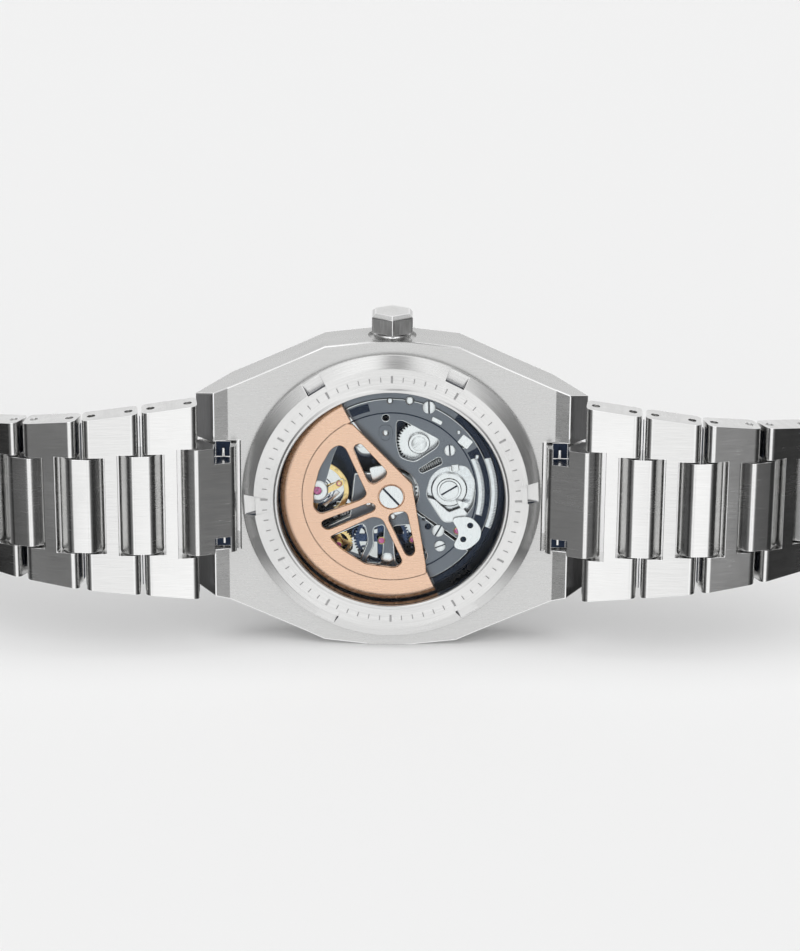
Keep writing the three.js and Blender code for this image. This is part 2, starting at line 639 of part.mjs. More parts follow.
function claspLongBlade() {
  const plateBlank = box([BLADE_HINGE[0] - 1, COVER_HINGE[0] + 0.2], [-0.5, 0.5], [-6.6, 6.6]);
  const eye = upright(0.8, -6.6, 6.6, COVER_HINGE, 12);
  const knuckleRoom = box([BLADE_HINGE[0] - 2, BLADE_HINGE[0] + 1.6], [-1, 1], [-4.3, 4.3]);
  const window = box([10, 27], [-1, 1], [-3.2, 3.2]);
  const hinge = upright(0.45, -6.6, 6.6, BLADE_HINGE);
  const knuckles = [1, -1].map((end) => box(
    [5.4, 7], [0, 1.3], [4.4 * end, 6.6 * end].sort((a, b) => a - b),
  ));
  const pinHole = upright(0.55, -7, 7, COVER_HINGE);
  return join(cut(join(plateBlank, eye), window, knuckleRoom, pinHole), ...knuckles, hinge);
}

function claspShortBlade() {
  const blank = box([BLADE_HINGE[0] + 1.3, 28], [0.85, 1.85], [-5.6, 5.6]);
  const window = box([12, 25], [0, 3], [-2.6, 2.6]);
  const knuckle = box([5.3, 8.5], [0.75, 1.85], [-4.1, 4.1]);
  const tongue = box([27, 30.4], [0.75, 2.25], [-4, 4]);
  return cut(
    join(cut(blank, window), knuckle, tongue),
    upright(0.55, -7, 7, BLADE_HINGE),
    upright(PIN_HOLE_RADIUS, -7, 7, [29.4, 1.5]),
  );
}

function claspButton(end) {
  const cap = box([10, 14], [0, 1.6], [7.7 * end, 9 * end].sort((a, b) => a - b));
  const shank = box([11, 13], [0.55, 1.3], [7 * end, 7.8 * end].sort((a, b) => a - b));
  return join(cap, shank);
}

layBracelet('twelve', 1);
const claspEnd = layBracelet('six', -1);
const clasp = new THREE.Group();
place(clasp, claspEnd.pin, claspEnd.angle);
caseFrame.add(clasp);
piece('clasp_cover', claspCover(), FINISHES.brushedSteel(), clasp);
piece('clasp_long_blade', claspLongBlade(), FINISHES.polishedSteel(), clasp);
piece('clasp_short_blade', claspShortBlade(), FINISHES.polishedSteel(), clasp);
piece('clasp_button_upper', claspButton(1), FINISHES.polishedSteel(), clasp);
piece('clasp_button_lower', claspButton(-1), FINISHES.polishedSteel(), clasp);

export default watch;
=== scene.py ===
import math

import bmesh
import bpy
from mathutils import Matrix, Vector


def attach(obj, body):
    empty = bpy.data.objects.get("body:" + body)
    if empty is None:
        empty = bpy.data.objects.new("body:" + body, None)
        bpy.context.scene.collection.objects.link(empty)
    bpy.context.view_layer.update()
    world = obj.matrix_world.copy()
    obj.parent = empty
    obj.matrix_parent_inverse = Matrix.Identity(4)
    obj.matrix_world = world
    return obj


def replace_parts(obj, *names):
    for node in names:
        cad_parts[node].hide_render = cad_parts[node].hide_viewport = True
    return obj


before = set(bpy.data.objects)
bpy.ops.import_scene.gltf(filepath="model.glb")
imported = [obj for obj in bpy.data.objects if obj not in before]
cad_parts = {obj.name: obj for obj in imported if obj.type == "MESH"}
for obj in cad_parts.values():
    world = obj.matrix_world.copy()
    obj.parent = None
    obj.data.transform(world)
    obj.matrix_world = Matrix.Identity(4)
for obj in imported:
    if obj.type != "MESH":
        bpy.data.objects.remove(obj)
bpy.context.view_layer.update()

scene = bpy.context.scene
MM = 0.001
HUB_HEIGHT = 20.0  # height of the case centre above the floor, in mm

# ------------------------------------------------------------------ camera

CAMERA_TILT = math.radians(20)
CAMERA_ROLL = math.radians(0.4)
CAMERA_DISTANCE = 398.8
CAMERA_ASIDE = 1.08
CAMERA_RAISE = 2.52
LENS = 121.5


def add_camera():
    forward = Vector((0, math.cos(CAMERA_TILT), -math.sin(CAMERA_TILT)))
    level_up = Vector((0, math.sin(CAMERA_TILT), math.cos(CAMERA_TILT)))
    level_right = Vector((1, 0, 0))
    right = level_right * math.cos(CAMERA_ROLL) + level_up * math.sin(CAMERA_ROLL)
    up = level_up * math.cos(CAMERA_ROLL) - level_right * math.sin(CAMERA_ROLL)
    back_plane_centre = Vector((0, -3, HUB_HEIGHT))
    place = back_plane_centre - forward * CAMERA_DISTANCE + right * CAMERA_ASIDE + up * CAMERA_RAISE
    data = bpy.data.cameras.new("camera")
    data.lens = LENS
    data.sensor_width = 36
    data.clip_start = 0.01
    data.clip_end = 20
    camera = bpy.data.objects.new("camera", data)
    axes = Matrix((right, up, -forward)).transposed()
    camera.matrix_world = Matrix.Translation(place * MM) @ axes.to_4x4()
    scene.collection.objects.link(camera)
    scene.camera = camera


add_camera()
scene.view_settings.view_transform = "Standard"

# ------------------------------------------------------------------ studio

DOME_PEAK = 1.5           # the ramps hold brightness as a share of this
# Brightness of the studio by azimuth in degrees from the camera's side, positive towards +X.
NEAR_HORIZON = [
    (-180, 0.85), (-140, 0.8), (-112, 0.25), (-80, 0.1), (-56, 0.01), (-46, 0.05), (-38, 0.2),
    (-30, 0.15), (-25, 0.15), (-20, 0.6), (-16, 1.15), (-9, 1.22), (-3, 0.96), (3, 0.96), (9, 1.22),
    (16, 1.15), (21, 0.95), (27, 0.3), (32, 0.16), (42, 0.12), (50, 0.03), (95, 0.03), (118, 0.25),
    (145, 0.8), (180, 0.85),
]
OVERHEAD = [
    (-180, 0.85), (-120, 0.7), (-85, 0.35), (-62, 0.55), (-50, 1.0), (-14, 1.25), (-9, 1.1),
    (-4, 0.4), (4, 0.2), (11, 0.4), (17, 1.1), (40, 1.15), (52, 0.4), (85, 0.2), (120, 0.7), (180, 0.85),
]
STRAIGHT_UP = 1.0
STRAIGHT_DOWN = 0.95
FLOOR_TONE = 0.885
BACKDROP = 0.888          # what is seen past the far edge of the floor
DIFFUSE_SHARE = 0.35      # how much of the dome's light reaches matt surfaces
FILL_STRENGTH = 2.84      # wide fill light from behind the camera, for matt surfaces only
FILL_SPREAD = math.radians(115)
FILL_TILT = math.radians(38)
FLOOR_HALF = 6
FLOOR_DROP = 0.00005


def ramp_by_azimuth(nodes, links, source, table):
    ramp = nodes.new("ShaderNodeValToRGB")
    elements = ramp.color_ramp.elements
    elements[0].position = 0
    elements[1].position = 1
    for i, (azimuth, level) in enumerate(table):
        position = (azimuth + 180) / 360
        if i == 0:
            stop = elements[0]
        elif i == len(table) - 1:
            stop = elements[len(elements) - 1]
        else:
            stop = elements.new(position)
        stop.color = (level / DOME_PEAK, level / DOME_PEAK, level / DOME_PEAK, 1)
    links.new(source, ramp.inputs["Fac"])
    return ramp.outputs["Color"]


def math_node(nodes, links, operation, *values):
    node = nodes.new("ShaderNodeMath")
    node.operation = operation
    for socket, value in zip(node.inputs, values):
        if isinstance(value, (int, float)):
            socket.default_value = value
        else:
            links.new(value, socket)
    return node.outputs[0]


def step_node(nodes, links, value, low, high):
    node = nodes.new("ShaderNodeMapRange")
    node.interpolation_type = "SMOOTHSTEP"
    links.new(value, node.inputs["Value"])
    node.inputs["From Min"].default_value = low
    node.inputs["From Max"].default_value = high
    return node.outputs["Result"]


def mix_colours(nodes, links, factor, first, second):
    node = nodes.new("ShaderNodeMix")
    node.data_type = "RGBA"
    links.new(factor, node.inputs["Factor"])
    for socket, value in ((node.inputs[6], first), (node.inputs[7], second)):
        if isinstance(value, float):
            socket.default_value = (value, value, value, 1)
        else:
            links.new(value, socket)
    return node.outputs[2]


def add_studio():
    world = bpy.data.worlds.new("studio")
    scene.world = world
    world.use_nodes = True
    nodes, links = world.node_tree.nodes, world.node_tree.links
    direction = nodes.new("ShaderNodeTexCoord").outputs["Generated"]
    split = nodes.new("ShaderNodeSeparateXYZ")
    links.new(direction, split.inputs[0])
    x, y, z = split.outputs
    towards_camera = math_node(nodes, links, "MULTIPLY", y, -1.0)
    angle = math_node(nodes, links, "ARCTAN2", x, towards_camera)
    turn = math_node(nodes, links, "MULTIPLY_ADD", angle, 0.5 / math.pi, 0.5)
    low = ramp_by_azimuth(nodes, links, turn, NEAR_HORIZON)
    high = ramp_by_azimuth(nodes, links, turn, OVERHEAD)
    ring = mix_colours(nodes, links, step_node(nodes, links, z, 0.05, 0.55), low, high)
    topped = mix_colours(nodes, links, step_node(nodes, links, z, 0.85, 0.97), ring, STRAIGHT_UP / DOME_PEAK)
    downward = math_node(nodes, links, "MULTIPLY", z, -1.0)
    under = step_node(nodes, links, downward, 0.62, 0.9)
    whole = mix_colours(nodes, links, under, topped, STRAIGHT_DOWN / DOME_PEAK)
    background = nodes["Background"]
    path = nodes.new("ShaderNodeLightPath")
    seen = mix_colours(nodes, links, path.outputs["Is Camera Ray"], whole, BACKDROP / DOME_PEAK)
    links.new(seen, background.inputs["Color"])
    matt = path.outputs["Is Diffuse Ray"]
    links.new(
        math_node(nodes, links, "MULTIPLY_ADD", matt, DOME_PEAK * (DIFFUSE_SHARE - 1), DOME_PEAK),
        background.inputs["Strength"],
    )


def add_fill():
    data = bpy.data.lights.new("fill", "SUN")
    data.energy = FILL_STRENGTH
    data.angle = FILL_SPREAD
    fill = bpy.data.objects.new("fill", data)
    fill.rotation_euler = (FILL_TILT, 0, 0)
    fill.visible_glossy = False
    scene.collection.objects.link(fill)


def add_floor():
    mesh = bpy.data.meshes.new("floor")
    corners = [(-1, -1), (1, -1), (1, 1), (-1, 1)]
    mesh.from_pydata([(x * FLOOR_HALF, y * FLOOR_HALF, 0) for x, y in corners], [], [(0, 1, 2, 3)])
    floor = bpy.data.objects.new("floor", mesh)
    floor.location.z = -FLOOR_DROP
    scene.collection.objects.link(floor)
    paint = bpy.data.materials.new("floor_paper")
    paint.use_nodes = True
    shader = paint.node_tree.nodes["Principled BSDF"]
    shader.inputs["Base Color"].default_value = (FLOOR_TONE, FLOOR_TONE, FLOOR_TONE, 1)
    shader.inputs["Roughness"].default_value = 1
    shader.inputs["Specular IOR Level"].default_value = 0
    mesh.materials.append(paint)
    floor.visible_glossy = False


add_studio()
add_fill()
add_floor()

# ------------------------------------------------------------------ materials


class Nodes:
    """A Principled material under construction."""

    def __init__(self, name):
        self.material = bpy.data.materials.new(name)
        self.material.use_nodes = True
        self.tree = self.material.node_tree
        self.shader = self.tree.nodes["Principled BSDF"]

    def new(self, kind, **settings):
        node = self.tree.nodes.new(kind)
        for key, value in settings.items():
            setattr(node, key, value)
        return node

    def link(self, source, target):
        self.tree.links.new(source, target)

    def place(self, scale):
        """Object coordinates in millimetres times scale."""
        mapping = self.new("ShaderNodeMapping")
        mapping.inputs["Scale"].default_value = [s / MM for s in scale]
        self.link(self.new("ShaderNodeTexCoord").outputs["Object"], mapping.inputs["Vector"])
        return mapping.outputs[0]

    def around(self, per_mm, centre=(0, HUB_HEIGHT), along=2.0):
        """Coordinates that change with the distance from a Y axis, and slowly round it."""
        split = self.new("ShaderNodeSeparateXYZ")
        self.link(self.new("ShaderNodeTexCoord").outputs["Object"], split.inputs[0])
        nodes, links = self.tree.nodes, self.tree.links
        x = math_node(nodes, links, "SUBTRACT", split.outputs[0], centre[0] * MM)
        z = math_node(nodes, links, "SUBTRACT", split.outputs[2], centre[1] * MM)
        squares = math_node(nodes, links, "MULTIPLY", x, x)
        total = math_node(nodes, links, "MULTIPLY_ADD", z, z, squares)
        radius = math_node(nodes, links, "SQRT", total)
        angle = math_node(nodes, links, "ARCTAN2", z, x)
        join = self.new("ShaderNodeCombineXYZ")
        self.link(math_node(nodes, links, "MULTIPLY", radius, per_mm / MM), join.inputs[0])
        self.link(math_node(nodes, links, "MULTIPLY", angle, along), join.inputs[1])
        self.link(math_node(nodes, links, "MULTIPLY", split.outputs[1], 0.5 / MM), join.inputs[2])
        return join.outputs[0]

    def noise(self, vector, detail=3.0, roughness=0.6):
        node = self.new("ShaderNodeTexNoise")
        node.inputs["Scale"].default_value = 1
        node.inputs["Detail"].default_value = detail
        node.inputs["Roughness"].default_value = roughness
        self.link(vector, node.inputs["Vector"])
        return node.outputs["Fac"]

    def span(self, value, low, high, start=0.3, end=0.7):
        node = self.new("ShaderNodeMapRange")
        self.link(value, node.inputs["Value"])
        node.inputs["From Min"].default_value = start
        node.inputs["From Max"].default_value = end
        node.inputs["To Min"].default_value = low
        node.inputs["To Max"].default_value = high
        return node.outputs["Result"]

    def colour(self, factor, first, second):
        ramp = self.new("ShaderNodeValToRGB")
        ramp.color_ramp.elements[0].position = 0.3
        ramp.color_ramp.elements[0].color = (*first, 1)
        ramp.color_ramp.elements[1].position = 0.7
        ramp.color_ramp.elements[1].color = (*second, 1)
        self.link(factor, ramp.inputs["Fac"])
        self.link(ramp.outputs["Color"], self.shader.inputs["Base Color"])

    def bump(self, height, distance_mm, strength=1.0):
        node = self.new("ShaderNodeBump")
        node.inputs["Strength"].default_value = strength
        node.inputs["Distance"].default_value = distance_mm * MM
        self.link(height, node.inputs["Height"])
        self.link(node.outputs[0], self.shader.inputs["Normal"])


def scaled(colour, factor):
    return tuple(min(1, c * factor) for c in colour)


# Metal with a grain. `grain` is the noise scale per millimetre along x, y and z, or the name
# "round" for lines that run round the case centre.
def metal(name, colour, roughness, grain, contrast=0.12, depth=0.004, stretch=0.0, axis="Z", metallic=1.0):
    m = Nodes(name)
    m.shader.inputs["Metallic"].default_value = metallic
    lines = m.noise(m.around(9) if grain == "round" else m.place(grain))
    finer = m.noise(m.around(22, along=5) if grain == "round" else m.place([g * 2.6 for g in grain]), 2)
    smears = m.noise(m.place((0.16, 0.16, 0.16)), 4)
    m.colour(lines, scaled(colour, 1 - contrast), scaled(colour, 1 + contrast * 0.5))
    sheen = m.span(lines, roughness * 0.86, roughness * 1.16)
    handled = m.span(smears, -0.03, 0.05)
    total = math_node(m.tree.nodes, m.tree.links, "ADD", sheen, handled)
    m.link(total, m.shader.inputs["Roughness"])
    m.bump(finer, depth)
    if stretch:
        m.shader.inputs["Anisotropic"].default_value = stretch
        m.shader.inputs["Anisotropic Rotation"].default_value = 0.25
        tangent = m.new("ShaderNodeTangent", direction_type="RADIAL", axis=axis)
        m.link(tangent.outputs[0], m.shader.inputs["Tangent"])
    return m.material


def glass(name):
    m = Nodes(name)
    tree = m.tree
    tree.nodes.remove(m.shader)
    clear = m.new("ShaderNodeBsdfTransparent")
    clear.inputs["Color"].default_value = (0.97, 0.985, 0.985, 1)
    gloss = m.new("ShaderNodeBsdfGlossy")
    smudge = m.noise(m.place((0.3, 0.3, 0.3)), 5)
    m.link(m.span(smudge, 0.01, 0.06), gloss.inputs["Roughness"])
    fresnel = m.new("ShaderNodeFresnel")
    fresnel.inputs["IOR"].default_value = 1.22
    mix = m.new("ShaderNodeMixShader")
    m.link(fresnel.outputs[0], mix.inputs[0])
    m.link(clear.outputs[0], mix.inputs[1])
    m.link(gloss.outputs[0], mix.inputs[2])
    m.link(mix.outputs[0], tree.nodes["Material Output"].inputs["Surface"])
    return m.material


def ruby(name):
    m = Nodes(name)
    cloud = m.noise(m.place((3, 3, 3)), 4)
    m.colour(cloud, (0.42, 0.03, 0.2), (0.85, 0.22, 0.5))
    m.link(m.span(cloud, 0.05, 0.14), m.shader.inputs["Roughness"])
    m.shader.inputs["Coat Weight"].default_value = 0.8
    m.shader.inputs["Coat Roughness"].default_value = 0.04
    return m.material


def rubber(name):
    m = Nodes(name)
    dust = m.noise(m.place((6, 6, 6)), 5)
    m.colour(dust, (0.012, 0.012, 0.013), (0.03, 0.03, 0.032))
    m.link(m.span(dust, 0.6, 0.85), m.shader.inputs["Roughness"])
    m.bump(dust, 0.01)
    return m.material


STEEL = (0.83, 0.83, 0.825)
ALONG_X = (0.3, 0.3, 13)
LOOKS = {
    "link": metal("steel_brushed_along", STEEL, 0.22, ALONG_X, 0.07, 0.0014, 0.6),
    "case": metal(
        "steel_satin_case", (0.61, 0.61, 0.605), 0.26, (0.25, 0.25, 11), 0.04, 0.001, 0.4, metallic=0.85,
    ),
    # Dark steel on the case's lug end faces: painted shade.
    "lug": metal("steel_lug_end_painted_shade", (0.26, 0.26, 0.265), 0.35, (9, 9, 0.4), 0.15, 0.003),
    "ring": metal("steel_turned", (0.75, 0.75, 0.745), 0.22, "round", 0.08, 0.0022, 0.8, "Y", 0.88),
    "crown": metal("steel_crown", (0.88, 0.88, 0.875), 0.5, (6, 6, 0.4), 0.08, 0.001),
    "edge": metal("steel_polished_edge", (0.95, 0.95, 0.95), 0.08, (1, 1, 1), 0.04, 0.001),
    "polished": metal("steel_polished", (0.86, 0.86, 0.87), 0.12, (0.6, 0.6, 0.6), 0.06, 0.001),
    "white": metal("steel_rhodium", (0.93, 0.93, 0.94), 0.28, (5, 5, 1), 0.08, 0.003),
    "gear": metal("steel_gear", (0.85, 0.86, 0.88), 0.2, (4, 4, 4), 0.1, 0.002),
    "bridge": metal("bridge_anthracite", (0.2, 0.215, 0.245), 0.36, (7, 7, 7), 0.12, 0.002, metallic=0.8),
    # Blue-black for the real dark plates and rings. It is also laid where only shade falls, as painted shade:
    # screw slots, the bridge groove and well, the jaw holes, the slits between bracelet links and the clasp
    # recess floors.
    "dark_plate_and_shade": metal("blue_black_plate_and_painted_shade", (0.022, 0.03, 0.05), 0.3, (3, 3, 3), 0.25, 0.002),
    "blued": metal("steel_blued", (0.05, 0.075, 0.14), 0.16, (2, 2, 2), 0.2, 0.001),
    "gilt": metal("brass_gilt", (0.95, 0.72, 0.34), 0.2, (5, 5, 5), 0.1, 0.002),
    "rose": metal("rose_gold_brushed", (0.97, 0.63, 0.46), 0.27, (0.3, 1, 14), 0.03, 0.002, 0.3, "Y", 0.75),
    "rose_edge": metal("rose_gold_polished", (0.62, 0.32, 0.17), 0.26, (2, 2, 2), 0.15, 0.001, metallic=0.5),
    "mark": metal("engraved_mark", (0.52, 0.52, 0.52), 0.5, (6, 6, 6), 0.2, 0.003),
    "glass": glass("sapphire_glass"),
    "ruby": ruby("ruby_jewel"),
    "rubber": rubber("seal_rubber"),
}

# ------------------------------------------------------------------ mesh helpers, in millimetres


def polar(radius, degrees, at=(0, 0)):
    angle = math.radians(degrees)
    return (at[0] + radius * math.cos(angle), at[1] + radius * math.sin(angle))


def arc(radius, start, end, steps, at=(0, 0)):
    return [polar(radius, start + (end - start) * i / steps, at) for i in range(steps + 1)]


def circle(radius, at=(0, 0), steps=40):
    return arc(radius, 0, 360, steps, at)[:-1]


def bezier(a, control, b, steps):
    a, control, b = Vector(a), Vector(control), Vector(b)
    return [
        tuple(a * (1 - t) ** 2 + control * 2 * t * (1 - t) + b * t * t)
        for t in (i / steps for i in range(steps + 1))
    ]


def rounded(points, radius, steps=5):
    """A polygon whose corners are short curves between points on their two sides."""
    result = []
    for i, corner in enumerate(points):
        corner = Vector(corner)
        before = Vector(points[i - 1])
        after = Vector(points[(i + 1) % len(points)])
        reach_in = min(radius, (corner - before).length / 2.2)
        reach_out = min(radius, (corner - after).length / 2.2)
        start = corner + (before - corner).normalized() * reach_in
        end = corner + (after - corner).normalized() * reach_out
        result += bezier(start, corner, end, steps)
    return result


def fill_layer(loops, to_point):
    """A flat face with holes; the first loop is the outside."""
    bm = bmesh.new()
    for loop in loops:
        verts = [bm.verts.new(to_point(*p)) for p in loop]
        for a, b in zip(verts, verts[1:] + verts[:1]):
            bm.edges.new((a, b))
    bmesh.ops.triangle_fill(bm, use_beauty=True, use_dissolve=False, edges=bm.edges[:])
    return bm


def thicken(bm, offset):
    made = bmesh.ops.extrude_face_region(bm, geom=bm.faces[:])
    moved = [v for v in made["geom"] if isinstance(v, bmesh.types.BMVert)]
    bmesh.ops.translate(bm, vec=offset, verts=moved)
    bmesh.ops.recalc_face_normals(bm, faces=bm.faces[:])
    bmesh.ops.dissolve_limit(
        bm, angle_limit=math.radians(0.5), verts=bm.verts[:], edges=bm.edges[:],
    )
    return bm


def slab(outline, y0, y1, holes=()):
    """A flat shape drawn in (x, height over the case centre), between two Y levels."""
    bm = fill_layer([outline, *holes], lambda x, h: (x, y0, h + HUB_HEIGHT))
    return thicken(bm, (0, y1 - y0, 0))


def prism(outline, low, high):
    """A shape drawn in (x, y), between two heights over the case centre."""
    bm = fill_layer([outline], lambda x, y: (x, y, low + HUB_HEIGHT))
    return thicken(bm, (0, 0, high - low))


def box(xs, ys, zs):
    return prism([(xs[0], ys[0]), (xs[1], ys[0]), (xs[1], ys[1]), (xs[0], ys[1])], *zs)


def turned(profile, steps=96, at=(0, 0)):
    """A (radius, y) profile turned about the Y axis through `at`; radius 0 ends close it."""
    bm = bmesh.new()
    rings = []
    for radius, y in profile:
        if radius < 1e-6:
            rings.append([bm.verts.new((at[0], y, at[1] + HUB_HEIGHT))] * steps)
            continue
        points = circle(radius, at, steps)
        rings.append([bm.verts.new((x, y, h + HUB_HEIGHT)) for x, h in points])
    closed = profile[0][0] > 1e-6 and profile[-1][0] > 1e-6
    pairs = list(zip(rings, rings[1:])) + ([(rings[-1], rings[0])] if closed else [])
    for first, second in pairs:
        for i in range(steps):
            j = (i + 1) % steps
            corners = [first[i], first[j], second[j], second[i]]
            unique = list(dict.fromkeys(corners))
            if len(unique) > 2:
                bm.faces.new(unique)
    bmesh.ops.recalc_face_normals(bm, faces=bm.faces[:])
    return bm


def post(radius, low, high, x, y, steps=24):
    return prism([(x + px, y + py) for px, py in circle(radius, steps=steps)], low, high)


def merge(*parts):
    """Several meshes in one, each keeping its own shell."""
    whole = bmesh.new()
    for part in parts:
        mesh = bpy.data.meshes.new("part")
        part.to_mesh(mesh)
        part.free()
        whole.from_mesh(mesh)
        bpy.data.meshes.remove(mesh)
    return whole


def carve(bm, *tools, operation="DIFFERENCE"):
    holders = []
    for shape in (bm, *tools):
        mesh = bpy.data.meshes.new("carve")
        shape.to_mesh(mesh)
        shape.free()
        holder = bpy.data.objects.new("carve", mesh)
        scene.collection.objects.link(holder)
        holders.append(holder)
    base = holders[0]
    for tool in holders[1:]:
        modifier = base.modifiers.new("carve", "BOOLEAN")
        modifier.operation = operation
        modifier.object = tool
        modifier.solver = "EXACT"
    graph = bpy.context.evaluated_depsgraph_get()
    mesh = bpy.data.meshes.new_from_object(base.evaluated_get(graph))
    result = bmesh.new()
    result.from_mesh(mesh)
    bpy.data.meshes.remove(mesh)
    for holder in holders:
        data = holder.data
        bpy.data.objects.remove(holder)
        bpy.data.meshes.remove(data)
    return paint(result, 0)


EDGE, OTHER = 1, 2  # a piece's second and third materials


def paint(bm, index, chosen=lambda face, middle: True):
    """Gives the chosen faces the piece's material `index`."""
    for face in bm.faces:
        if chosen(face, face.calc_center_median()):
            face.material_index = index
    return bm


def soften(bm, width, segments=2, angle=35, index=0, keep=None):
    """Bevels the sharp edges; the new faces get material `index`."""
    bmesh.ops.remove_doubles(bm, verts=bm.verts[:], dist=1e-4)
    limit = math.radians(angle)
    edges = [
        e for e in bm.edges
        if len(e.link_faces) == 2 and e.calc_face_angle(0) > limit and (keep is None or keep(e))
    ]
    bmesh.ops.bevel(
        bm, geom=edges, offset=width, offset_type="OFFSET", segments=segments, profile=0.5,
        affect="EDGES", clamp_overlap=True, material=index,
    )
    return bm


def from_node(name):
    """A CAD node's mesh in millimetres, with its flat faces whole again."""
    bm = bmesh.new()
    bm.from_mesh(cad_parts[name].data)
    bmesh.ops.scale(bm, vec=(1 / MM,) * 3, verts=bm.verts[:])
    bmesh.ops.remove_doubles(bm, verts=bm.verts[:], dist=1e-3)
    bmesh.ops.dissolve_limit(
        bm, angle_limit=math.radians(1), verts=bm.verts[:], edges=bm.edges[:],
    )
    return paint(bm, 0)


def piece(name, bm, body, look, *others, replaces=(), sharp=32):
    """Turns a mesh in millimetres into a finished piece that rides on a body."""
    bmesh.ops.remove_doubles(bm, verts=bm.verts[:], dist=1e-4)
    bmesh.ops.recalc_face_normals(bm, faces=bm.faces[:])
    bmesh.ops.scale(bm, vec=(MM,) * 3, verts=bm.verts[:])
    mesh = bpy.data.meshes.new(name)
    bm.to_mesh(mesh)
    bm.free()
    for key in (look, *others):
        mesh.materials.append(LOOKS[key])
    mesh.shade_smooth()
    mesh.set_sharp_from_angle(angle=math.radians(sharp))
    obj = bpy.data.objects.new(name, mesh)
    scene.collection.objects.link(obj)
    normals = obj.modifiers.new("even_normals", "WEIGHTED_NORMAL")
    normals.keep_sharp = True
    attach(obj, body)
    if replaces:
        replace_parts(obj, *replaces)
    return obj


# ------------------------------------------------------------------ case

BACK = -3.0
FRONT = 3.0
LUG_SLOT = (18.8, 7.1)
SPRING_BAR = (20.9, -1.9)


def case_outline():
    quarter = [(3, 20), *bezier((8.3, 19.4), (13.6, 16.9), (20, 14.1), 20), (24.6, 12.6)]
    outline = []
    for i, (sx, sz) in enumerate([(1, 1), (1, -1), (-1, -1), (-1, 1)]):
        run = quarter if i % 2 == 0 else quarter[::-1]
        outline += [(x * sx, z * sz) for x, z in run]
    return outline


def outer_edge(edge):
    """True on the outside edges of the case, away from its bores, the bars and the slots' insides."""
    middle = (edge.verts[0].co + edge.verts[1].co) / 2
    height = abs(middle.z - HUB_HEIGHT)
    in_bore = math.hypot(middle.x, height) < 16.5 or height > 18.9 and abs(middle.x) < 3.6
    by_bar = abs(abs(middle.x) - SPRING_BAR[0]) < 0.7 and abs(middle.y - SPRING_BAR[1]) < 0.7
    in_slot = height < LUG_SLOT[1] + 0.05 and middle.y > BACK + 0.1
    return not (in_bore or by_bar or in_slot)


def mid_case():
    half = [(20.2, BACK), (22, -3.5), (24.3, -1.2), (20, FRONT)]
    side = half + [(-x, y) for x, y in half[::-1]]
    blank = carve(slab(case_outline(), -5, 5), prism(side, -21, 21), operation="INTERSECT")
    slots = [
        box(sorted((LUG_SLOT[0] * s, 30 * s)), (-6, 4), (-LUG_SLOT[1], LUG_SLOT[1])) for s in (1, -1)
    ]
    bars = [
        post(0.55, -LUG_SLOT[1] - 2, LUG_SLOT[1] + 2, SPRING_BAR[0] * s, SPRING_BAR[1])
        for s in (1, -1)
    ]
    hollow = carve(
        blank,
        turned([(0, -5), (16, -5), (16, 2), (0, 2)]),
        turned([(0, 1), (14.6, 1), (14.6, 4), (0, 4)]),
        post(2.98, 19.7, 22, 0, 0, 48),
        *slots, *bars,
    )
    shaped = soften(hollow, 0.16, 2, 24, 1, outer_edge)
    # The faces at the lug ends get the dark lug steel: painted shade.
    paint(shaped, OTHER, lambda face, middle: (
        face.material_index == 0 and abs(face.normal.x) > 0.6 and abs(middle.x) > 21.5
    ))
    tube = soften(carve(post(2.3, 19.5, 20.5, 0, 0, 40), post(0.9, 18, 21, 0, 0, 32)), 0.2)
    return merge(shaped, paint(tube, EDGE))


def back_ring():
    ring = turned([
        (15.75, -1.6), (15.75, -3.05), (18.45, -3.05), (18.55, -3.15), (18.55, -3.55), (18.48, -3.66),
        (17.16, -4.57), (17.0, -4.62), (14.68, -4.74), (14.52, -4.82), (14.4, -4.93), (14.28, -4.95),
        (14.12, -4.9), (14.06, -4.8), (14.05, -4.45), (14.35, -4.45), (14.35, -3.3), (15, -3.3), (15, -1.6),
    ], 240)
    notches = []
    for i in range(6):
        notch = box((16.85, 18.25), (-6, -3.75), (-1.25, 1.25))
        centre = Vector((0, 0, HUB_HEIGHT))
        bmesh.ops.rotate(
            notch, cent=centre, matrix=Matrix.Rotation(-math.radians(3 + 60 * i), 3, "Y"),
            verts=notch.verts[:],
        )
        notches.append(notch)
    return paint(carve(ring, *notches), OTHER, lambda face, middle: (
        abs(face.normal.y) < 0.3 and 16.8 < math.hypot(middle.x, middle.z - HUB_HEIGHT) < 18.35
    ))


def radial_bars(count, inner, outer, half, y0, y1, skip=lambda i: False, start=0.0):
    bars = []
    for i in range(count):
        if skip(i):
            continue
        a = start + 360 / count * i
        mid = [polar(inner, a), polar(outer, a)]
        side = Vector(polar(half, a + 90))
        points = [Vector(mid[0]) - side, Vector(mid[1]) - side, Vector(mid[1]) + side, Vector(mid[0]) + side]
        bars.append(slab([tuple(p) for p in points], y0, y1))
    return bars


